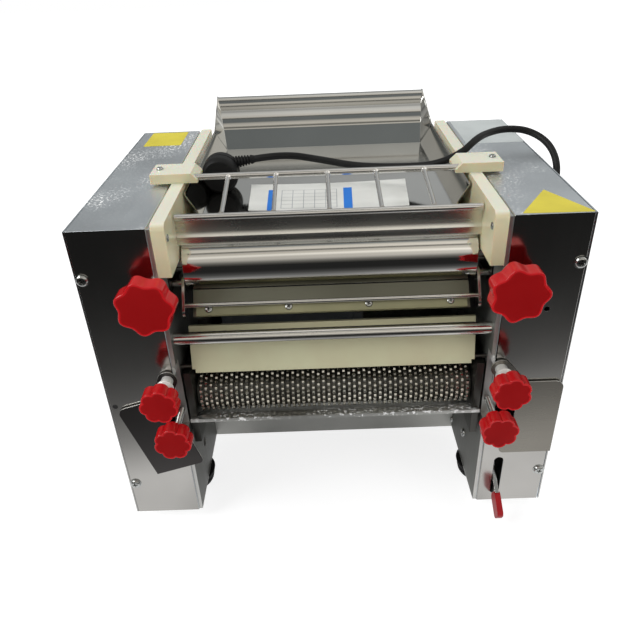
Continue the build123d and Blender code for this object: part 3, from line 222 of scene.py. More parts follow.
def make_materials(colours):
    """All the finishes of the machine by name."""
    along_x, along_y, along_z, all_ways = (0.02, 1, 1), (1, 0.02, 1), (1, 1, 0.02), (1, 1, 1)
    dark = tuple(colours.front_steel)
    plain = tuple(colours.deck_steel)
    red = tuple(colours.red)
    cream = tuple(colours.cream)
    # A darker copy of the knob red for the flat front faces: painted shade.
    shaded_face_red = tinted(red, 0.56, 0.16, 0.20)
    grain, depth = 260.0, 0.00002
    # Colour, roughness and grain, then contrast, spread, streaks, depth and metallic where they differ.
    steels = {
        "front steel": (dark, 0.13, along_z, 0.10, 0.4, 240.0, 0.000008),
        "side steel": (plain, 0.27, along_z),
        "deck steel": (plain, 0.36, along_y, 0.12, 0.3, grain, depth, 1.0, (400.0, 0.46, 0.62)),
        # Pale steel on the bevelled fold between front and deck: a painted highlight along the fold.
        "fold highlight steel": ((0.86, 0.86, 0.84), 0.42, along_x, 0.2, 0.3, grain, depth, 0.5),
        "flap steel": (tinted(dark, 0.56, 0.54, 0.50), 0.22, along_x, 0.08, 0.3, 240.0, 0.000008),
        # A darker copy of the flap steel for the left flap, which is turned away from the light: painted
        # shade.
        "shaded flap steel": ((0.060, 0.056, 0.055), 0.30, along_x, 0.12, 0.3, 240.0, 0.000008),
        "pan steel": ((0.56, 0.56, 0.53), 0.34, along_x, 0.14, 0.3, grain, depth, 0.6),
        "plate steel": ((0.15, 0.152, 0.14), 0.40, along_z, 0.2, 0.3, grain, depth, 0.5),
        "edge steel": ((0.62, 0.62, 0.60), 0.42, along_z, 0.2),
        "chute steel": ((0.54, 0.54, 0.52), 0.08, along_x, 0.06, 0.3, 200.0, 0.000006),
        "strip steel": ((0.80, 0.79, 0.74), 0.24, along_x, 0.1),
        "blade steel": ((0.165, 0.165, 0.130), 0.32, along_x, 0.16),
        "rod steel": ((0.66, 0.65, 0.62), 0.16, along_x, 0.08),
        "guard steel": ((0.70, 0.69, 0.67), 0.15, along_x, 0.06),
        "chrome": ((0.74, 0.73, 0.70), 0.07, along_x, 0.05, 0.4, 180.0, 0.000004),
        "apron steel": ((0.56, 0.56, 0.53), 0.32, along_x, 0.12, 0.3, grain, depth, 1.0, (330.0, 0.40, 0.58)),
        "cutter steel": ((0.88, 0.82, 0.70), 0.22, all_ways, 0.35, 0.3, 600.0, 0.00003),
        "screw steel": ((0.46, 0.47, 0.46), 0.18, all_ways, 0.15, 0.3, 500.0),
        "nut steel": ((0.88, 0.87, 0.84), 0.30, all_ways, 0.12, 0.3, 500.0, depth, 0.55),
        "end plate steel": ((0.10, 0.098, 0.09), 0.36, along_z, 0.2),
        "gear steel": ((0.42, 0.41, 0.39), 0.34, along_x, 0.2),
        "bronze": ((0.60, 0.40, 0.18), 0.35, along_x, 0.15),
    }
    # Dark and light colour, roughness, then the bumps' scale and depth, the specular level and the dust.
    mouldings = {
        # Dark roots between the cutter rings: painted shade in the grooves.
        "groove": ((0.030, 0.027, 0.020), (0.070, 0.064, 0.048), 0.35, 600.0, 0.00003),
        "cast iron": ((0.10, 0.11, 0.12), (0.15, 0.16, 0.17), 0.5, 300.0, 0.0001),
        "motor paint": ((0.18, 0.20, 0.22), (0.24, 0.26, 0.28), 0.45, 260.0, 0.00012),
        "old cream": (tinted(cream, 0.74), tinted(cream, 0.80, 0.86, 0.86), 0.34, 420.0, 0.00003),
        # Scraper bar: a darker copy of the cream, painted shade.
        "shaded bar cream": (tinted(cream, 0.26, 0.27, 0.22), tinted(cream, 0.35, 0.36, 0.30), 0.36, 420.0, 0.00003),
        "red": (red, tinted(red, 1.1), 0.15, 500.0, depth, 0.4),
        "grip red": ((0.30, 0.006, 0.010), (0.36, 0.008, 0.012), 0.40, 400.0, 0.00004, 0.3),
        # Knobs' flat faces: the darker red is painted shade.
        "shaded red face": (shaded_face_red, tinted(shaded_face_red, 1.15), 0.30, 380.0, 0.00005, 0.12),
        "rubber": ((0.007,) * 3, (0.013,) * 3, 0.6, 380.0, 0.00008, 0.12),
        "black": ((0.006,) * 3, (0.012,) * 3, 0.46, 420.0, 0.00004, 0.16),
        "cord": ((0.006,) * 3, (0.011,) * 3, 0.46, 900.0, 0.00003, 0.22),
        "belt": ((0.016,) * 3, (0.028, 0.027, 0.026), 0.6, 500.0, 0.00006),
        "paper": ((0.64, 0.64, 0.60), (0.72, 0.72, 0.68), 0.7, 900.0),
        "blue": ((0.010, 0.15, 0.56), (0.015, 0.19, 0.66), 0.6, 900.0),
        "rule": ((0.30, 0.31, 0.32), (0.36, 0.37, 0.38), 0.7, 900.0),
        "yellow": ((0.56, 0.47, 0.03), (0.68, 0.58, 0.05), 0.45, 600.0, 0.00001),
        "silver": ((0.42, 0.45, 0.44), (0.50, 0.53, 0.52), 0.42, 700.0, 0.00001),
        # Near-black for the screws' cross recesses, painted shade there, and for the black hole plugs.
        "dark": ((0.01,) * 3, (0.02,) * 3, 0.7),
    }
    made = {name: steel(name, *values) for name, values in steels.items()}
    made.update((name, moulded(name, *values)) for name, values in mouldings.items())
    nylon = (tinted(cream, 0.88), cream, 0.30, 420.0, 0.00003, 0.5, (0.72, 0.71, 0.60))
    made["cream"] = moulded("cream", *nylon, Subsurface_Weight=0.3, Subsurface_Scale=0.006)
    return made


MATERIALS = {}


# ---------------------------------------------------------------- meshes
def settle(bm):
    """Merge doubles and point the faces outwards."""
    bmesh.ops.remove_doubles(bm, verts=bm.verts, dist=1e-6)
    bmesh.ops.recalc_face_normals(bm, faces=bm.faces)
    return bm


def joined(parts):
    """One bmesh of several, which are used up."""
    whole = bmesh.new()
    for part in parts:
        scrap = bpy.data.meshes.new("scrap")
        part.to_mesh(scrap)
        part.free()
        whole.from_mesh(scrap)
        bpy.data.meshes.remove(scrap)
    return whole


def linked(name, data):
    """A new object of the scene that holds this data."""
    made = bpy.data.objects.new(name, data)
    bpy.context.scene.collection.objects.link(made)
    return made


def piece(name, bm, body, finishes, replaces=(), crease=35.0, flat_weight=True):
    """Put a finished bmesh in the scene as a piece that rides on a body."""
    for edge in bm.edges:
        edge.smooth = len(edge.link_faces) == 2 and edge.calc_face_angle() < radians(crease)
    for face in bm.faces:
        face.smooth = True
    mesh = bpy.data.meshes.new(name)
    bm.to_mesh(mesh)
    bm.free()
    for finish in finishes:
        mesh.materials.append(MATERIALS[finish])
    made = linked(name, mesh)
    if flat_weight:
        weights = made.modifiers.new("flat faces", "WEIGHTED_NORMAL")
        weights.keep_sharp = True
    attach(made, body)
    if replaces:
        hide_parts(*replaces)
    return made


def copy_of(node):
    """A bmesh of a CAD node with its triangles merged into plain faces."""
    bm = bmesh.new()
    bm.from_mesh(NODES[node].data)
    bmesh.ops.remove_doubles(bm, verts=bm.verts, dist=2e-6)
    bmesh.ops.dissolve_limit(bm, angle_limit=radians(0.6), verts=bm.verts, edges=bm.edges)
    return bm


def sharp_edges(bm, angle):
    """Edges whose two faces meet at more than an angle in degrees."""
    least = radians(angle)
    return [edge for edge in bm.edges if len(edge.link_faces) == 2 and edge.calc_face_angle() > least]


def bevelled(bm, geom, width, segments, affect="EDGES"):
    """Bevel some edges or corners of a bmesh."""
    bmesh.ops.bevel(
        bm,
        geom=geom,
        offset=width,
        segments=segments,
        profile=0.5,
        affect=affect,
        material=-1,
        clamp_overlap=True,
    )
    return bm


def soften(bm, width, segments=2, angle=30.0, keep=None):
    """Bevel a bmesh's sharp edges, or those of them that keep accepts."""
    edges = [edge for edge in sharp_edges(bm, angle) if keep is None or keep(edge)]
    return bevelled(bm, edges, width, segments)


def soft_node(node, finish, width=0.0003, segments=2, name=None, angle=30.0):
    """A CAD node's shape with its edges broken and its own finish."""
    bm = soften(copy_of(node), width, segments, angle)
    return piece(name or node + "_finished", bm, HOME[node], [finish], [node])


def extruded(bm, faces):
    """Extrude faces in place and give the new corners and faces."""
    made = bmesh.ops.extrude_face_region(bm, geom=faces)["geom"]
    corners = [item for item in made if isinstance(item, bmesh.types.BMVert)]
    return corners, [item for item in made if isinstance(item, bmesh.types.BMFace)]


def turned(profile, steps=64):
    """A turned shape about Z from (height, radius) points."""
    bm = bmesh.new()
    chain = [bm.verts.new((radius, 0, height)) for height, radius in profile]
    edges = [bm.edges.new(pair) for pair in zip(chain, chain[1:])]
    bmesh.ops.spin(bm, geom=chain + edges, axis=(0, 0, 1), angle=2 * pi, steps=steps, use_merge=True)
    return settle(bm)


def facing(direction, place):
    """Matrix that takes Z to a direction and the origin to a place, with X kept level."""
    ahead = Vector(direction).normalized()
    side = Vector((0, 0, 1)).cross(ahead) if abs(ahead.z) < 0.9 else Vector((1, 0, 0))
    side.normalize()
    if ahead.y < -0.5:
        side = Vector((1, 0, 0))
    upward = ahead.cross(side).normalized()
    side = upward.cross(ahead).normalized()
    turn = Matrix((side, upward, ahead)).transposed().to_4x4()
    return Matrix.Translation(place) @ turn


def placed(bm, direction, place):
    bm.transform(facing(direction, place))
    return bm


def bar_between(start, end, radius, steps=20, ends=0.3):
    """A round bar from one place to another with softened ends."""
    start, end = Vector(start), Vector(end)
    length = (end - start).length
    soft = radius * ends
    tip = [(0, 0), (0, radius - soft), (soft * 0.3, radius - soft * 0.3), (soft, radius)]
    far_tip = [(length - level, reach) for level, reach in reversed(tip)]
    return placed(turned(tip + far_tip, steps), end - start, start)


def cross_screw(radius, height, turn):
    """A pan head about Z, standing on Z = 0, with a cross recess turned by an angle."""
    bm = bmesh.new()
    bmesh.ops.create_circle(bm, cap_ends=True, segments=24, radius=radius)
    head = bm.faces[:]

    def next_ring(level, reach_at):
        """Carry the head to a level, each corner out to the reach at its angle."""
        nonlocal head
        corners, raised = extruded(bm, head)
        bmesh.ops.delete(bm, geom=head, context="FACES_ONLY")
        head = raised
        for corner in corners:
            angle = atan2(corner.co.y, corner.co.x)
            reach = reach_at(angle)
            corner.co = Vector((reach * cos(angle), reach * sin(angle), level))

    for share, rise in ((0.99, 0.25), (0.93, 0.6), (0.80, 0.86), (0.62, 1.0)):
        next_ring(height * rise, lambda angle: radius * share)
    for level, arm, half in ((height, 0.55, 0.13), (height - radius * 0.32, 0.341, 0.08)):

        def cross(angle):
            fold = abs((angle + pi / 4) % (pi / 2) - pi / 4)
            return min(arm, half / max(sin(fold), 1e-4)) * radius

        next_ring(level, cross)
    # The recess takes the near-black second finish, painted shade in the cross.
    for face in head:
        face.material_index = 1
    bmesh.ops.rotate(bm, matrix=Matrix.Rotation(turn, 3, "Z"), verts=bm.verts)
    return settle(bm)


def ribbon(section, stations):
    """A folded surface: a section line carried through stations."""
    bm = bmesh.new()
    chain = [bm.verts.new(place) for place in section]
    edges = [bm.edges.new(pair) for pair in zip(chain, chain[1:])]
    for places in stations:
        made = bmesh.ops.extrude_edge_only(bm, edges=edges)
        corners = [v for v in made["geom"] if isinstance(v, bmesh.types.BMVert)]
        edges = [e for e in made["geom"] if isinstance(e, bmesh.types.BMEdge)]
        matched = dict(zip(chain, corners))
        chain = [matched[v] for v in chain]
        for corner, place in zip(chain, places):
            corner.co = place
    return bm


# ---------------------------------------------------------------- settings
def colour_setting(name, description, default):
    return FloatVectorProperty(
        name=name, description=description, subtype="COLOR", default=default, min=0, max=1
    )


def length_setting(name, description, default, low, high):
    return FloatProperty(
        name=name, description=description, default=default, min=low, max=high, unit="LENGTH"
    )


def power_setting(name, description, default):
    return FloatProperty(name=name, description=description, default=default, min=0, max=500)


class SheeterColours(bpy.types.PropertyGroup):
    front_steel: colour_setting("Front steel", "Polished steel of the housings' fronts", (0.44, 0.43, 0.41))
    deck_steel: colour_setting("Deck steel", "Brushed steel of the decks and sides", (0.70, 0.74, 0.77))
    red: colour_setting("Red", "Plastic of the knobs and the lever's grip", (0.46, 0.006, 0.009))
    cream: colour_setting("Cream", "Nylon of the hopper's sides and scrapers", (0.66, 0.60, 0.39))


class SheeterSizes(bpy.types.PropertyGroup):
    fold_radius: length_setting("Fold radius", "Outside radius of the housings' folds", 0.0014, 0.0002, 0.003)
    ring_pitch: length_setting("Ring pitch", "Distance between neighbouring cutter rings", 0.005, 0.002, 0.02)
    knob_lobes: IntProperty(name="Knob lobes", description="Lobes round each knob", default=7, min=5, max=9)
    cord_diameter: length_setting("Cord diameter", "Outside diameter of the mains lead", 0.007, 0.005, 0.01)


class SheeterStage(bpy.types.PropertyGroup):
    focal_length: FloatProperty(
        name="Focal length", description="Camera lens", default=35.143, min=10, max=200, unit="CAMERA"
    )
    floor_tone: FloatProperty(
        name="Floor tone", description="Grey of the floor", default=0.9, min=0, max=1, subtype="FACTOR"
    )
    key_power: power_setting("Key light", "Power of the main soft light in watts", 26.0)
    fill_power: power_setting("Fill light", "Power of the side soft light in watts", 9.0)


# ---------------------------------------------------------------- housings and frame
def fold_edges(bm, margin=1e-4):
    """A test for long edges that lie on two outer sides of the shape's box."""
    low = [min(v.co[i] for v in bm.verts) for i in range(3)]
    high = [max(v.co[i] for v in bm.verts) for i in range(3)]

    def outer(edge):
        if edge.calc_length() < 0.08:
            return False
        sides = 0
        for i in range(3):
            for bound in (low[i], high[i]):
                if all(abs(v.co[i] - bound) < margin for v in edge.verts):
                    sides += 1
        return sides >= 2

    return outer


def painted_copy(node, front, top, other):
    """A CAD node's copy whose faces to the front, up and elsewhere have finishes of their own."""
    bm = copy_of(node)
    bmesh.ops.recalc_face_normals(bm, faces=bm.faces)
    for face in bm.faces:
        if face.normal.y < -0.7:
            face.material_index = front
        elif face.normal.z > 0.7:
            face.material_index = top
        else:
            face.material_index = other
    return bm


def make_housings(sizes):
    finishes = ["front steel", "deck steel", "side steel"]
    for side in ("left", "right"):
        casing = "casing_" + side
        bm = painted_copy(casing, 0, 1, 2)
        soften(bm, sizes.fold_radius, 3, 30.0, fold_edges(bm))
        bm.normal_update()
        # The bevels between front and deck take the fourth finish, pale steel as a painted highlight along
        # the fold.
        for face in bm.faces:
            if face.normal.y < -0.2 and face.normal.z > 0.2:
                face.material_index = 3
        soften(bm, 0.00025, 1, 50.0)
        piece("housing_" + side, bm, "root", finishes + ["fold highlight steel"], [casing])
        cover_node = "side_cover_" + side
        bm = painted_copy(cover_node, 0, 1, 2)
        soften(bm, 0.0006, 2, 30.0, fold_edges(bm))
        soften(bm, 0.0002, 1, 50.0)
        piece("cover_" + side, bm, "root", finishes, [cover_node])
    soft_node("base_pan", "pan steel", 0.0004)


def make_frame():
    for side in ("left", "right"):
        plate = "frame_plate_" + side
        bm = copy_of(plate)
        bmesh.ops.recalc_face_normals(bm, faces=bm.faces)
        for face in bm.faces:
            face.material_index = 0 if abs(face.normal.x) > 0.7 else 1
        soften(bm, 0.0004)
        piece(plate + "_finished", bm, "root", ["plate steel", "edge steel"], [plate])
    soft_node("bearing_bushes", "bronze")
    soft_node("tie_rods", "rod steel", 0.0004)
    soft_node("bearing_blocks", "end plate steel", 0.0005)


def make_feet():
    """Four moulded rubber feet with a ribbed waist and a washer seat."""
    low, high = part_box("rubber_feet")
    tall = high.z - low.z
    profile = [
        (0.0, 0.0), (0.0, 0.0160), (0.0008, 0.0222), (0.0022, 0.0230), (tall * 0.42, 0.0241),
        (tall * 0.50, 0.0235), (tall * 0.58, 0.0244), (tall * 0.86, 0.0255), (tall - 0.0008, 0.0259),
        (tall, 0.0253), (tall, 0.0),
    ]
    parts = []
    for x in FOOT_SIDES:
        for back in FOOT_BACKS:
            place = spot(x, back, 0)
            place.z = 0
            foot = turned(profile, 56)
            bmesh.ops.translate(foot, vec=place, verts=foot.verts)
            parts.append(foot)
    piece("feet", joined(parts), "root", ["rubber"], ["rubber_feet"])


# ---------------------------------------------------------------- screws
def screw_piece(name, body, heads, replaces=()):
    """A piece of cross-recessed heads about Z, each brought to its direction and place."""
    parts = [placed(head, way, place) for head, way, place in heads]
    piece(name, joined(parts), body, ["screw steel", "dark"], replaces)


def make_screws():
    turn = 0.3
    heads = []
    for x in SCREW_SIDES:
        for drop in SCREW_DROPS:
            for back, way in ((0.0, -1), (HOUSING_DEPTH, 1)):
                washer = turned([(0, 0), (0, 0.0060), (0.0005, 0.0060), (0.0006, 0.0056), (0.0006, 0)], 40)
                head = cross_screw(0.0052, 0.0024, turn)
                bmesh.ops.translate(head, vec=(0, 0, 0.0005), verts=head.verts)
                heads.append((joined([washer, head]), (0, way, 0), spot(x, back, -drop)))
                turn += 0.7
    screw_piece("housing_screws", "root", heads, ["casing_screws"])

    heads = []
    for side in (-1, 1):
        for back in (7.0, 278.0):
            heads.append((cross_screw(0.0032, 0.0007, turn), (-side, 0, 0), spot(side * 132.9, back, -11.5)))
            turn += 0.9
        heads.append((cross_screw(0.0032, 0.0022, turn), (0, 0, 1), spot(side * 157.0, 114.0, 12.0)))
    screw_piece("trim_screw_heads", "root", heads, ["trim_screws"])

    low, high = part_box("scraper_screws")
    outward = scraper_outward()
    heads = []
    for x in (-0.1106, -0.0384, 0.0336, 0.1072):
        place = Vector((x, (low.y + high.y) / 2, (low.z + high.z) / 2)) + outward * 0.0008
        heads.append((cross_screw(0.0033, 0.0008, turn), outward, place))
        turn += 0.5
    screw_piece("scraper_screw_heads", "carriage", heads, ["scraper_screws"])

    heads = []
    for back, drop in ((62.0, 284.0), (120.0, 313.0)):
        heads.append((cross_screw(0.0050, 0.0026, turn), (-1, 0, 0), spot(144.5, back, -drop)))
        turn += 0.8
    screw_piece("frame_plate_screws", "root", heads)

    stop = turned([(0, 0), (0, 0.0026), (0.0003, 0.0024), (0.0003, 0)], 24)
    placed(stop, (0, -1, 0), spot(-208.8, 0.0, -180.0))
    plug = turned([(0, 0), (0, 0.0053), (0.0004, 0.0053), (0.0004, 0)], 32)
    placed(plug, (1, 0, 0), spot(-146.5, 57.0, -279.0))
    piece("hole_plugs", joined([stop, plug]), "root", ["dark"])


# ---------------------------------------------------------------- hopper
def scraper_outward():
    """Direction that the scraper bar's front face looks in."""
    run, fall = 16.7, 19.2
    length = hypot(run, fall)
    return Vector((0, -fall / length, run / length))


def make_hopper():
    for side in ("left", "right"):
        node = "hopper_side_" + side
        bm = soften(copy_of(node), 0.0009, 3, 30.0, lambda edge: edge.calc_length() > 0.02)
        piece("hopper_cheek_" + side, bm, "root", ["cream"], [node])
    soft_node("guard_brackets", "cream", 0.0010, 3, "hinge_blocks")
    soft_node("hopper_front_strip", "strip steel", 0.0002, 1, "hopper_strip", 40.0)


def make_guard():
    """Two bars with dressed ends, joined by five wires that are welded on."""
    weld = [(0, 0), (0, 0.0031), (0.0006, 0.0029), (0.0014, 0.0023), (0.0022, 0.0020), (0.0022, 0)]
    front, hinge = spot(*GUARD_BAR), spot(*GUARD_HINGE)
    parts = []
    for middle, half in ((front, 0.1323), (hinge, 0.149)):
        reach = Vector((half, 0, 0))
        parts.append(bar_between(middle - reach, middle + reach, 0.003, 32))
    for x in GUARD_WIRES:
        across = Vector((x, 0, 0))
        start, end = front + across, hinge + across
        parts.append(bar_between(start, end, 0.002, 24))
        along = (end - start).normalized()
        for foot, way in ((start + along * 0.0026, 1), (end - along * 0.0026, -1)):
            parts.append(placed(turned(weld, 24), along * way, foot))
    piece("guard", joined(parts), "guard", ["guard steel"], ["wire_guard"])


def chute_line(back, floor_z, floor_half, wing_z, wing_half, edge_z):
    """Section of the chute's mid-sheet from one wing's edge to the other's."""
    half = [(floor_half, floor_z), (wing_half, wing_z), (wing_half, edge_z)]
    points = [(-x, z) for x, z in half[::-1]] + half
    return [spot(x, back, z) for x, z in points]


def make_chute():
    """Folded dough chute with a bead across its back and a rolled lip."""
    front, bend = 84.4, 297.0
    floor_half, wing_half, wing_z = 118.6, 131.2, -4.0
    lip_half, lip_wing_half, lip_back, lip_z = 127.0, 128.2, 348.6, 26.0
    run, rise, wing_rise = 52.0, 52.7, 31.3
    askew = Vector((-0.0022, 0, 0))

    def at(back, floor_z, share):
        """Section of the back at its share of the way from the bend to the lip."""
        half = floor_half + share * (lip_half - floor_half)
        wing = wing_half + share * (lip_wing_half - wing_half)
        edge = max(floor_z + 0.6, wing_z + share * wing_rise)
        line = chute_line(back, floor_z, half, edge, wing, edge + 2.5 - 1.7 * share)
        return [place + askew * share for place in line]

    stations = [at(bend, -CHUTE_FLOOR_DROP, 0.0)]
    for share, swell in (
        (0.36, 0.0), (0.40, 1.0), (0.46, 2.0), (0.54, 2.6), (0.62, 2.2), (0.68, 1.2),
        (0.72, 0.0), (0.74, 0.0), (0.78, 1.2), (0.84, 2.4), (0.90, 2.8), (0.95, 2.2),
    ):
        back = bend + share * run - swell * 0.71
        stations.append(at(back, -CHUTE_FLOOR_DROP + share * rise + swell * 0.70, share))
    stations.append(at(lip_back, lip_z, 1.0))
    bm = ribbon(chute_line(front, -CHUTE_FLOOR_DROP, floor_half, wing_z, wing_half, -1.5), stations)
    bevelled(bm, sharp_edges(bm, 25), 0.0022, 3)
    bmesh.ops.recalc_face_normals(bm, faces=bm.faces)
    bmesh.ops.solidify(bm, geom=bm.faces[:], thickness=0.0011)
    settle(bm)
    piece("chute", bm, "root", ["chute steel"], ["dough_chute"], 28.0)


def make_leaflet():
    """A loose folded leaflet with two plain blue bars and an empty table on the chute's floor."""
    places = ((-74.5, 88.0), (76.5, 86.0), (82.0, 160.0), (-77.0, 159.5))
    corners = [spot(x, back, -24.4) for x, back in places]

    def place(across, along, lift):
        low = corners[0].lerp(corners[1], across)
        high = corners[3].lerp(corners[2], across)
        curl = 0.0016 * (2 * across - 1) ** 2 + 0.0004 * sin(along * 7)
        return low.lerp(high, along) + Vector((0, 0, lift + curl))

    def patch(low, high, lift, finish, steps=(20, 10)):
        bm = bmesh.new()
        bmesh.ops.create_grid(bm, x_segments=steps[0], y_segments=steps[1], size=0.5)
        for corner in bm.verts:
            across = low[0] + (corner.co.x + 0.5) * (high[0] - low[0])
            along = low[1] + (corner.co.y + 0.5) * (high[1] - low[1])
            corner.co = place(across, along, lift)
        for face in bm.faces:
            face.material_index = finish
        return bm

    parts = [patch((0, 0), (1, 1), 0.0007, 0), patch((0.004, 0), (0.997, 0.99), 0.0002, 0)]
    for low, high in (((0.115, 0.0), (0.165, 0.78)), ((0.595, 0.0), (0.650, 0.80))):
        parts.append(patch(low, high, 0.00082, 1, (2, 10)))
    for across in (0.20, 0.27, 0.34, 0.41, 0.48, 0.55):
        parts.append(patch((across, 0.06), (across + 0.004, 0.76), 0.00080, 2, (1, 10)))
    for along in (0.06, 0.20, 0.34, 0.48, 0.62, 0.76):
        parts.append(patch((0.20, along), (0.554, along + 0.008), 0.00080, 2, (10, 1)))
    piece("leaflet", joined(parts), "root", ["paper", "blue", "rule"], flat_weight=False)


# ---------------------------------------------------------------- rollers and scrapers
def shaft_profile(half, radius, reach, journal, soft=0.0008):
    """Profile of a roller about its axis: body of a half length, journals out to a reach."""
    side = [
        (half - soft, radius),
        (half - soft * 0.3, radius - soft * 0.4),
        (half, radius - soft * 2),
        (half + 0.0002, journal),
        (reach - 0.0005, journal),
        (reach, journal - 0.0005),
        (reach, 0),
    ]
    return [(-along, out) for along, out in reversed(side)] + side


def shaft_along(centre, start, end):
    """A wide shaft across the machine through a centre."""
    return bar_between((start, centre.y, centre.z), (end, centre.y, centre.z), WIDE_SHAFT, 40)


def make_rollers():
    for side, back in zip(("front", "rear"), ROLLER_BACKS):
        node = side + "_roller"
        low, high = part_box(node)
        centre = spot(0, back, -ROLLER_DROP)
        body = turned(shaft_profile(ROLLER_HALF, ROLLER_RADIUS, ROLLER_REACH, 0.011), 128)
        shafts = [placed(body, (1, 0, 0), centre)]
        if high.x > 0.16:
            shafts.append(shaft_along(centre, 0.158, high.x))
        if low.x < -0.16:
            shafts.append(shaft_along(centre, low.x, -0.158))
        piece("roller_" + side, joined(shafts), HOME[node], ["chrome"], [node])
    for node in ("front_roller_gear", "cluster_gear", "pinion_shaft"):
        soft_node(node, "gear steel", 0.0003, 1)


def make_scrapers():
    soft_node("front_scraper_blade", "blade steel", 0.00015, 1, "scraper_blade")
    # The scraper bar takes the darker cream as painted shade.
    soft_node("front_scraper_bar", "shaded bar cream", 0.0009, 3, "scraper_bar")
    soft_node("rear_scraper", "blade steel", 0.0003, 2, "rear_scraper_sheet")
    soft_node("scraper_frame", "rod steel", 0.0004, 2, "scraper_carrier", 40.0)
    bm = soften(copy_of("guide_plate"), 0.0008, 3)
    for face in bm.faces:
        face.material_index = int(abs(face.calc_center_median().x) > GUIDE_END)
    piece("dough_guide", bm, "root", ["old cream", "end plate steel"], ["guide_plate"])


# ---------------------------------------------------------------- cutters
def cutter_shape(rings, pitch):
    """Rings round a core about Z, each with a land cut into square teeth."""
    root, tip, end = CUTTER_ROOT, CUTTER_TIP, 0.1335
    half = rings * pitch / 2
    rise, land_end = 0.26 * pitch, 0.78 * pitch
    profile = [(-end, 0), (-end, root)]
    for i in range(rings):
        start = -half + i * pitch
        profile += [
            (start + rise - pitch * 0.02, root),
            (start + rise, tip - 0.0003),
            (start + rise + pitch * 0.05, tip),
            (start + land_end - pitch * 0.052, tip),
            (start + land_end, tip - 0.0003),
            (start + land_end + pitch * 0.02, root),
        ]
    profile += [(end, root), (end, 0)]
    bm = turned(profile, 4 * CUTTER_TEETH)
    for corner in bm.verts:
        if hypot(corner.co.x, corner.co.y) > tip - 0.0004:
            ring = int((corner.co.z + half) / pitch)
            step = round(atan2(corner.co.y, corner.co.x) / (pi / 2 / CUTTER_TEETH)) + 2 * ring
            share = 1.0 if step % 4 < 2 else 0.945
            corner.co.x *= share
            corner.co.y *= share
    # Faces of the core between the rings take the dark second finish, painted shade in the grooves.
    for face in bm.faces:
        middle = face.calc_center_median()
        face.material_index = int(hypot(middle.x, middle.y) < tip - 0.0009)
    return bm


def make_cutters(sizes):
    rings = int(0.266 / sizes.ring_pitch)
    for side, back, count in (("front", CUTTER_BACKS[0], rings), ("rear", CUTTER_BACKS[1], rings - 1)):
        node = "cutter_roller_" + side
        low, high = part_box(node)
        centre = spot(0, back, -CUTTER_DROP)
        rolled = placed(cutter_shape(count, sizes.ring_pitch), (1, 0, 0), centre)
        gear = copy_of(node)
        bmesh.ops.delete(gear, geom=[v for v in gear.verts if v.co.x > -0.150], context="VERTS")
        shape = joined([rolled, shaft_along(centre, low.x + 0.0005, high.x), gear])
        piece("cutter_" + side, shape, HOME[node], ["cutter steel", "groove"], [node], 22.0)
    soft_node("cutter_end_plates", "end plate steel", 0.0005)
    soft_node("apron", "apron steel", 0.0003, 2, "noodle_apron")
    for node in ("cutter_pulley", "cutter_drive_pulley"):
        soft_node(node, "cast iron", 0.0003, 1)
    soft_node("cutter_belt", "belt", 0.0005, 1)


# ---------------------------------------------------------------- knobs and flaps
def knob_shape(radius, thickness, outline):
    """Knob about Z from its back face up, with a recessed flat face."""
    bm = bmesh.new()
    bmesh.ops.create_circle(bm, cap_ends=True, segments=168, radius=radius)
    for corner in bm.verts:
        angle = atan2(corner.co.x, corner.co.y)
        reach = outline(angle)
        corner.co = Vector((reach * sin(angle), reach * cos(angle), 0))
    raised = extruded(bm, bm.faces[:])[0]
    bmesh.ops.translate(bm, vec=(0, 0, thickness), verts=raised)
    bmesh.ops.recalc_face_normals(bm, faces=bm.faces)
    rims = [edge for edge in bm.edges if abs(edge.verts[0].co.z - edge.verts[1].co.z) < 1e-6]
    bevelled(bm, rims, 0.0011, 4)
    face = max(bm.faces, key=lambda f: f.calc_center_median().z * 1000 + f.calc_area())
    bmesh.ops.inset_region(bm, faces=[face], thickness=0.0006, depth=-0.00022, use_even_offset=True)
    bmesh.ops.inset_region(bm, faces=[face], thickness=0.0004, depth=0.0)
    # The flat face takes the darker red, painted shade.
    face.material_index = 1
    return bm


def threaded(radius, length, pitch=0.0008):
    """Threaded stud down from the origin about Z."""
    level = -0.0015
    profile = [(0.0, 0), (0.0, radius)]
    while level > -length + pitch:
        profile += [(level, radius), (level - pitch * 0.5, radius - 0.00045)]
        level -= pitch
    profile += [(-length, radius - 0.0003), (-length, 0)]
    return turned(profile, 28)


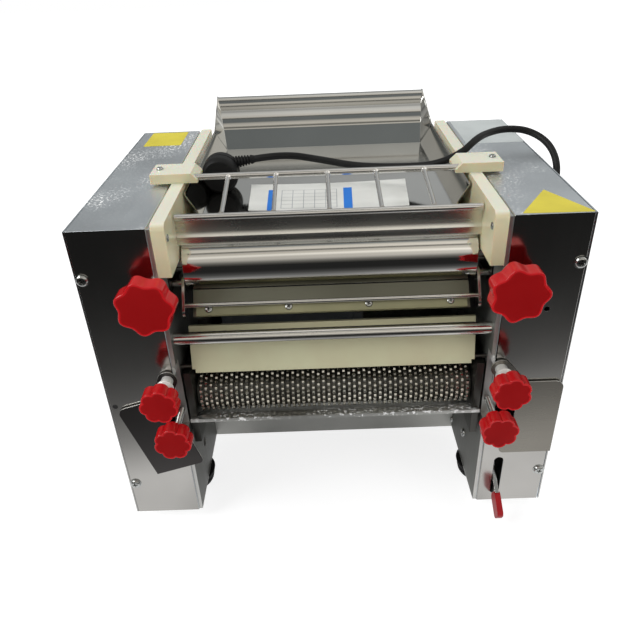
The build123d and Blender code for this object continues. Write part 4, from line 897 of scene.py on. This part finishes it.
def make_knobs(sizes):
    lobes = sizes.knob_lobes
    mid_drop, low_drop = CLAMP_DROPS
    to_front = Matrix(((1, 0, 0, 0), (0, 0, -1, 0), (0, 1, 0, 0), (0, 0, 0, 1)))
    # Radius, thickness and stud radius in millimetres.
    big, small = (25.0, 16.0, 5.0), (17.2, 14.0, 3.0)
    # Node, place across, drop and standoff in millimetres, size, turn in degrees.
    for node, x, drop, standoff, size, phase in (
        ("gap_knob_left", -151.0, ROLLER_DROP, 18.0, big, -15.0),
        ("gap_knob_right", 151.0, ROLLER_DROP, 18.0, big, -15.0),
        ("clamp_knob_mid_left", -153.5, mid_drop, 29.0, small, 8.0),
        ("clamp_knob_mid_right", 153.5, mid_drop, 29.0, small, 8.0),
        ("clamp_knob_low_left", -149.5, low_drop, 25.0, small, -4.0),
        ("clamp_knob_low_right", 149.5, low_drop, 25.0, small, 26.0),
    ):
        radius, thickness, stud = size

        def outline(angle):
            """Smooth waves on the big knobs, round lobes with tight notches on the small ones."""
            turn = lobes * (angle - radians(phase))
            if size == big:
                valley = radius * 0.86
                return ((radius + valley) / 2 + (radius - valley) / 2 * cos(turn)) / 1000
            valley = radius * 0.84
            return (valley + (radius - valley) * abs(cos(turn / 2)) ** 0.62) / 1000

        low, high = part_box(node)
        star = knob_shape(radius / 1000, thickness / 1000, outline)
        hub_radius = radius * 0.0004
        hub_edge = (-0.0015, radius * 0.00038)
        hub = turned([(0.0004, 0), (0.0004, hub_radius), (-0.0012, hub_radius), hub_edge, (-0.0015, 0)], 48)
        thread = threaded(stud / 1000, high.y - low.y - thickness / 1000)
        for face in thread.faces:
            face.material_index = 2
        whole = joined([star, hub, thread])
        whole.transform(Matrix.Translation(spot(x, -standoff, -drop)) @ to_front)
        finishes = ["red", "shaded red face", "screw steel"]
        piece(node + "_star", whole, HOME[node], finishes, [node], 38.0)


def make_flaps():
    # The left flap takes the darker copy of the flap steel as painted shade.
    for side, finish in (("left", "shaded flap steel"), ("right", "flap steel")):
        node = "flap_" + side
        bm = soften(painted_copy(node, 0, 1, 1), 0.0003, 2, 40.0)
        piece(node + "_plate", bm, node, [finish, "edge steel"], [node])
    bore, root, crest = 0.0033, 0.0070, 0.0080
    nut = [(0.0, bore), (0.0, 0.0052), (0.0003, 0.0055), (0.0100, 0.0055), (0.0100, root), (0.0107, crest)]
    level = 0.0112
    while level < 0.0220:
        nut += [(level, crest), (level + 0.0007, root), (level + 0.0012, root), (level + 0.0019, crest)]
        level += 0.0025
    nut += [(0.0236, crest), (0.0242, root), (0.0242, bore), (0.0, bore)]
    sleeve = [(0.0, bore), (0.0, 0.0050), (0.0135, 0.0050), (0.0135, bore), (0.0, bore)]
    parts = []
    for x in (-153.5, 153.5):
        for profile, steps, back in ((nut, 48, -3.0), (sleeve, 40, 12.0)):
            parts.append(placed(turned(profile, steps), (0, -1, 0), spot(x, back, -CLAMP_DROPS[0])))
    piece("collar_nuts", joined(parts), "root", ["nut steel"], ["flap_collars"])


# ---------------------------------------------------------------- mains lead
CORD_PLACES = (
    (-74, 165, 3), (-43, 166, 7), (-5, 165, 0), (33, 163, -8), (74, 150, -6), (108, 136, -1),
    (134, 137, 10), (149, 150, 19), (166, 174, 18), (188, 185, 19), (211, 182, 17), (228, 166, 8),
    (233, 146, -8), (229, 135, -32), (228, 137, -95), (228, 139, -155), (229, 143, -215),
    (230, 150, -270), (231, 170, -315), (232, 205, -334), (233, 250, -336.5), (231, 295, -336.5),
    (216, 333, -334), (196, 352, -316), (180, 364, -288), (170, 368, -262), (170, 368, -244.3),
    (170, 357.3, -225.7), (170, 338.7, -215), (170, 318, -215),
)


def make_lead(sizes):
    places = [spot(*place) for place in CORD_PLACES]
    line = bpy.data.curves.new("mains_lead", "CURVE")
    line.dimensions = "3D"
    line.bevel_depth = sizes.cord_diameter / 2
    line.bevel_resolution = 5
    line.resolution_u = 10
    line.use_fill_caps = True
    path = line.splines.new("NURBS")
    path.points.add(len(places) - 1)
    for point, place in zip(path.points, places):
        point.co = (*place, 1)
    path.order_u = 3
    path.use_endpoint_u = True
    line.materials.append(MATERIALS["cord"])
    lead = linked("mains_lead", line)
    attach(lead, "root")
    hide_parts("cord")

    plug = make_plug(places)
    x, back, rise = GLAND
    profile = [(0.0, 0), (0.0, 0.0090), (0.0016, 0.0090), (0.0022, 0.0082)]
    profile += ribs(0.0032, 0.0200, 0.0080, 0.0009, (0.0010, 0.0012, 0.0020), 0.0022, -0.0003)
    profile += [(0.0215, 0.0054), (0.0220, 0.0048), (0.0220, 0)]
    gland = placed(turned(profile, 40), (0, 1, 0), spot(*GLAND))
    thread = bar_between(spot(x, back - 8.0, rise), spot(x, back + 0.5, rise), 0.0069, 40)
    piece("lead_gland", joined([gland, thread]), "root", ["black"], ["cord_gland"])


def ribs(level, stop, radius, depth, marks, pitch, growth):
    """Profile points of ribs between two levels, each with its land and groove ends at marks."""
    land, groove, groove_end = marks
    points = []
    while level < stop:
        low = radius - depth
        points += [(level, radius), (level + land, radius), (level + groove, low), (level + groove_end, low)]
        level += pitch
        radius += growth
    return points


def make_plug(places):
    """Round moulded elbow plug with a ribbed relief and two pins."""
    x, back, z = PLUG
    body = (
        (0.0, 0), (0.0, 0.0150), (0.0010, 0.0158), (0.0030, 0.0178), (0.0048, 0.0185), (0.0128, 0.0185),
        (0.0132, 0.0180), (0.0148, 0.0180), (0.0152, 0.0185), (0.0232, 0.0185), (0.0254, 0.0176),
        (0.0272, 0.0160), (0.0280, 0.0150), (0.0280, 0),
    )
    parts = [placed(turned(body, 72), (0, -1, 0), spot(*PLUG))]
    profile = [(-0.0020, 0), (-0.0020, 0.0036), (0.0, 0.0042)]
    profile += ribs(0.0008, 0.0170, 0.0046, 0.0012, (0.0014, 0.0017, 0.0026), 0.0030, 0.0003)
    profile += [(0.0188, 0.0062), (0.0240, 0.0066), (0.0240, 0.0)]
    parts.append(placed(turned(profile, 32), (places[0] - places[1]).normalized(), places[0]))
    for side in (-9.5, 9.5):
        pin = bar_between(spot(x + side, back, z), spot(x + side, back + 19.0, z), 0.0024, 24, 0.5)
        for face in pin.faces:
            face.material_index = 1
        parts.append(pin)
    return piece("lead_plug", joined(parts), "root", ["black", "screw steel"], ["plug"])


# ---------------------------------------------------------------- labels
def box_corners(left, right, front, back):
    return ((left, front), (right, front), (right, back), (left, back))


def make_labels():
    """Blank labels on the two decks, where the real machine carries its notices."""
    lift, thickness = Vector((0, 0, 0.00002)), 0.00015
    for name, finish, slot, corner, outline in (
        ("deck_label_left", "yellow", "black_plastic", 0.0015, box_corners(-203, -161, 237, 292)),
        ("deck_label_right", "yellow", "black_plastic", 0.0015, ((155, 3), (213.5, 1.5), (188, 54.5))),
        ("rating_plate", "silver", "screw_steel", 0.002, box_corners(152, 213.5, 200, 294)),
    ):
        bm = bmesh.new()
        corners = [bm.verts.new(spot(x, back, 0) + lift) for x, back in outline]
        bm.faces.new(corners)
        bevelled(bm, corners, corner, 4, "VERTICES")
        raised = extruded(bm, bm.faces[:])[0]
        bmesh.ops.translate(bm, vec=(0, 0, thickness), verts=raised)
        bmesh.ops.recalc_face_normals(bm, faces=bm.faces)
        piece(name, bm, "root", [finish])


# ---------------------------------------------------------------- stage
# Painted reflection: grey that the floor shows only to the steel, from well in front of the machine to close
# by.
PAINTED_FLOOR_REFLECTION = ((0.0, 0.02), (0.25, 0.03), (0.53, 0.075), (0.69, 0.17), (0.82, 0.42), (0.92, 1.0))
# Bands of the studio as the steel mirrors it, from in front over the top to behind.
STUDIO_BANDS = (
    (0.0, (0.56, 0.54, 0.50)), (0.05, (0.62, 0.59, 0.54)), (0.07, (1.0, 0.96, 0.88)),
    (0.085, (1.0, 0.96, 0.88)), (0.10, (0.66, 0.62, 0.56)), (0.13, (0.62, 0.59, 0.53)),
    (0.16, (0.10, 0.10, 0.09)), (0.19, (0.84, 0.79, 0.71)), (0.25, (0.64, 0.61, 0.55)),
    (0.28, (0.19, 0.205, 0.21)), (0.36, (0.22, 0.235, 0.235)), (0.39, (0.10, 0.10, 0.09)),
    (0.42, (0.84, 0.79, 0.72)), (0.52, (0.92, 0.90, 0.86)), (0.62, (0.80, 0.79, 0.76)),
    (0.70, (0.30, 0.30, 0.29)), (0.74, (0.56, 0.55, 0.53)), (0.82, (0.42, 0.43, 0.43)),
    (1.0, (0.46, 0.47, 0.47)),
)
STUDIO_RISE = ((0.0, 0.10), (0.14, 0.35), (0.30, 1.0))


def make_floor(stage):
    """White floor that glows evenly to the camera, and to the steel only a painted reflection, darker far in
    front, with a painted shadow under the machine.
    """
    bm = bmesh.new()
    bmesh.ops.create_grid(bm, x_segments=2, y_segments=2, size=6.0)
    mesh = bpy.data.meshes.new("floor")
    bm.to_mesh(mesh)
    bm.free()
    floor = linked("floor", mesh)
    white = (stage.floor_tone,) * 3
    made, tree, shader = new_material("floor white", white, 0.0, 0.8, Specular_IOR_Level=0.1)
    rays = add_node(tree, "LightPath")
    place = add_node(tree, "TexCoord")["Object"]
    distance = add_node(tree, "VectorMath", {0: place}, operation="LENGTH")["Value"]
    fade = {"Value": distance, "From Min": 0.35, "From Max": 1.0, "To Min": 0.62}
    share = math(tree, "MULTIPLY", rays["Is Camera Ray"], add_node(tree, "MapRange", fade)["Result"])
    glow = add_node(tree, "Emission", {"Strength": 1.3})["Emission"]
    seen = add_node(tree, "MixShader", {"Fac": share, 1: shader.outputs["BSDF"], 2: glow})["Shader"]

    # Painted reflection for the steel: the floor glows darker further in front and darker under the machine,
    # as painted shadow.
    across = add_node(tree, "SeparateXYZ", {"Vector": place})
    way = math(tree, "MULTIPLY_ADD", across["X"], 0.12, across["Y"])
    reach = add_node(tree, "MapRange", {"Value": way, "From Min": -0.80, "From Max": -0.20})["Result"]
    narrowed = add_node(tree, "VectorMath", {0: place, 1: (1.2, 0.6, 1.0)}, operation="MULTIPLY")["Vector"]
    from_middle = add_node(tree, "VectorMath", {0: narrowed}, operation="LENGTH")["Value"]
    under = {"Value": from_middle, "From Min": 0.11, "From Max": 0.245, "To Min": 0.2}
    painted_shadow = add_node(tree, "MapRange", under)["Result"]
    shades = ramp(tree, reach, PAINTED_FLOOR_REFLECTION)
    painted_reflection = add_node(tree, "Emission", {"Color": shades, "Strength": painted_shadow})["Emission"]
    whole = add_node(tree, "MixShader", {"Fac": rays["Is Glossy Ray"], 1: seen, 2: painted_reflection})["Shader"]
    tree.links.new(whole, tree.nodes["Material Output"].inputs["Surface"])
    mesh.materials.append(made)


def make_world():
    """White to the camera, plain grey light, and soft bands for the steel to mirror."""
    world = bpy.data.worlds.new("studio")
    bpy.context.scene.world = world
    world.use_nodes = True
    tree = world.node_tree
    back = tree.nodes["Background"]
    back.inputs["Strength"].default_value = 1.0
    rays = add_node(tree, "LightPath")
    way = add_node(tree, "SeparateXYZ", {"Vector": add_node(tree, "TexCoord")["Generated"]})
    front_to_back = {"Value": way["Y"], "From Min": -1.0, "From Max": 1.0}
    bands = ramp(tree, add_node(tree, "MapRange", front_to_back)["Result"], STUDIO_BANDS)
    window = math(tree, "MULTIPLY_ADD", way["X"], 0.55, 1.0)
    rise = {0: ramp(tree, way["Z"], STUDIO_RISE), "Scale": window}
    sideways = add_node(tree, "VectorMath", rise, operation="SCALE")["Vector"]
    mirrored = blend(tree, bands, sideways, 1.0, "MULTIPLY")
    lit = blend(tree, (0.42, 0.43, 0.44, 1), mirrored, rays["Is Glossy Ray"])
    tree.links.new(blend(tree, lit, (1, 1, 1, 1), rays["Is Camera Ray"]), back.inputs["Color"])


def make_lamps(stage):
    """Three soft lamps, of which only the key light shows in the steel."""
    for name, place, aim, size, power in (
        ("key light", (-1.5, -0.8, 1.5), (0, 0, 0.2), 1.1, stage.key_power),
        ("top light", (0.5, 0.9, 2.0), (0, 0, 0.3), 1.4, stage.key_power * 0.7),
        ("fill light", (1.6, -1.2, 0.9), (0, 0, 0.2), 1.2, stage.fill_power),
    ):
        lamp = bpy.data.lights.new(name, "AREA")
        lamp.size = size
        lamp.energy = power
        holder = linked(name, lamp)
        holder.location = place
        holder.rotation_mode = "QUATERNION"
        holder.rotation_quaternion = (Vector(aim) - Vector(place)).to_track_quat("-Z", "Y")
        holder.visible_glossy = name == "key light"
    bpy.context.scene.view_settings.view_transform = "Standard"


def make_camera(stage):
    lens = bpy.data.cameras.new("camera")
    lens.sensor_width = 36.0
    lens.lens = stage.focal_length
    lens.clip_start = 0.01
    lens.clip_end = 50.0
    holder = linked("camera", lens)
    right = Vector((0.999305, -0.013692, -0.034665))
    upward = Vector((0.036700, 0.523659, 0.851137))
    ahead = Vector((-0.006499, 0.851818, -0.523798))
    turn = Matrix((right, upward, -ahead)).transposed().to_4x4()
    holder.matrix_world = Matrix.Translation((-0.0071584, FRONT_Y - 0.4660127, DECK_Z + 0.195152)) @ turn
    bpy.context.scene.camera = holder


# ---------------------------------------------------------------- operators
class SHEETER_OT_stage(bpy.types.Operator):
    """Make the camera, the floor and the soft studio light"""
    bl_idname = "sheeter.stage"
    bl_label = "Stage"

    def execute(self, context):
        stage = context.scene.sheeter_stage
        make_camera(stage)
        make_floor(stage)
        make_world()
        make_lamps(stage)
        return {"FINISHED"}


class SHEETER_OT_finishes(bpy.types.Operator):
    """Make the metal, nylon, plastic and rubber finishes"""
    bl_idname = "sheeter.finishes"
    bl_label = "Finishes"

    def execute(self, context):
        MATERIALS.update(make_materials(context.scene.sheeter_colours))
        return {"FINISHED"}


class SHEETER_OT_lead(bpy.types.Operator):
    """Lay the mains lead and make its gland and plug"""
    bl_idname = "sheeter.lead"
    bl_label = "Mains lead"

    def execute(self, context):
        make_lead(context.scene.sheeter_sizes)
        return {"FINISHED"}


class SHEETER_OT_housings(bpy.types.Operator):
    """Finish the two sheet-steel housings and the base pan"""
    bl_idname = "sheeter.housings"
    bl_label = "Housings"

    def execute(self, context):
        make_housings(context.scene.sheeter_sizes)
        return {"FINISHED"}


class SHEETER_OT_frame(bpy.types.Operator):
    """Finish the frame plates, bushes, tie rods and feet"""
    bl_idname = "sheeter.frame"
    bl_label = "Frame and feet"

    def execute(self, context):
        make_frame()
        make_feet()
        return {"FINISHED"}


class SHEETER_OT_screws(bpy.types.Operator):
    """Make the cross-recessed screws"""
    bl_idname = "sheeter.screws"
    bl_label = "Screws"

    def execute(self, context):
        make_screws()
        return {"FINISHED"}


class SHEETER_OT_hopper(bpy.types.Operator):
    """Make the hopper's cheeks, strip, guard, chute and leaflet"""
    bl_idname = "sheeter.hopper"
    bl_label = "Hopper"

    def execute(self, context):
        make_hopper()
        make_guard()
        make_chute()
        make_leaflet()
        return {"FINISHED"}


class SHEETER_OT_rollers(bpy.types.Operator):
    """Make the rollers with their gears and scrapers"""
    bl_idname = "sheeter.rollers"
    bl_label = "Rollers"

    def execute(self, context):
        make_rollers()
        make_scrapers()
        return {"FINISHED"}


class SHEETER_OT_cutters(bpy.types.Operator):
    """Make the noodle cutters with their end plates, apron and belt"""
    bl_idname = "sheeter.cutters"
    bl_label = "Cutters"

    def execute(self, context):
        make_cutters(context.scene.sheeter_sizes)
        return {"FINISHED"}


class SHEETER_OT_drive(bpy.types.Operator):
    """Finish the motor, pulleys and drive belt"""
    bl_idname = "sheeter.drive"
    bl_label = "Drive"

    def execute(self, context):
        for node in ("big_pulley", "motor_pulley"):
            soft_node(node, "cast iron", 0.0004, 1)
        soft_node("drive_belt", "belt", 0.0005, 1)
        soft_node("motor_shell", "motor paint", 0.0006)
        soft_node("motor_end_caps", "motor paint", 0.0012, 3)
        soft_node("motor_rotor", "gear steel", 0.0004)
        return {"FINISHED"}


class SHEETER_OT_controls(bpy.types.Operator):
    """Make the star knobs, flaps, clutch lever and switch"""
    bl_idname = "sheeter.controls"
    bl_label = "Controls"

    def execute(self, context):
        make_knobs(context.scene.sheeter_sizes)
        make_flaps()
        soft_node("clutch_lever", "rod steel", 0.0004, 2, "lever_arm", 40.0)
        soft_node("lever_grip", "grip red", 0.0009, 3, "lever_handle", 35.0)
        soft_node("jockey_wheel", "gear steel", 0.0006)
        soft_node("switch_frame", "black", 0.0008, 3)
        soft_node("switch_rocker", "red", 0.0008, 3)
        return {"FINISHED"}


class SHEETER_OT_labels(bpy.types.Operator):
    """Put the blank labels on the decks"""
    bl_idname = "sheeter.labels"
    bl_label = "Blank labels"

    def execute(self, context):
        make_labels()
        return {"FINISHED"}


OPERATORS = (
    SHEETER_OT_stage,
    SHEETER_OT_finishes,
    SHEETER_OT_lead,
    SHEETER_OT_housings,
    SHEETER_OT_frame,
    SHEETER_OT_screws,
    SHEETER_OT_hopper,
    SHEETER_OT_rollers,
    SHEETER_OT_cutters,
    SHEETER_OT_drive,
    SHEETER_OT_controls,
    SHEETER_OT_labels,
)


class SHEETER_PT_panel(bpy.types.Panel):
    bl_idname = "SHEETER_PT_panel"
    bl_label = "Dough sheeter"
    bl_space_type = "VIEW_3D"
    bl_region_type = "UI"
    bl_category = "Sheeter"

    def draw(self, context):
        scene = context.scene
        for settings in (scene.sheeter_colours, scene.sheeter_sizes, scene.sheeter_stage):
            box = self.layout.box()
            for name in settings.__annotations__:
                box.prop(settings, name)
        for operator in OPERATORS:
            self.layout.operator(operator.bl_idname)


CLASSES = (SheeterColours, SheeterSizes, SheeterStage) + OPERATORS + (SHEETER_PT_panel,)


def register():
    for item in CLASSES:
        bpy.utils.register_class(item)
    bpy.types.Scene.sheeter_colours = PointerProperty(type=SheeterColours)
    bpy.types.Scene.sheeter_sizes = PointerProperty(type=SheeterSizes)
    bpy.types.Scene.sheeter_stage = PointerProperty(type=SheeterStage)


def unregister():
    del bpy.types.Scene.sheeter_colours
    del bpy.types.Scene.sheeter_sizes
    del bpy.types.Scene.sheeter_stage
    for item in reversed(CLASSES):
        bpy.utils.unregister_class(item)


def main():
    register()
    for operator in OPERATORS:
        family, name = operator.bl_idname.split(".")
        getattr(getattr(bpy.ops, family), name)()


if __name__ == "__main__":
    main()
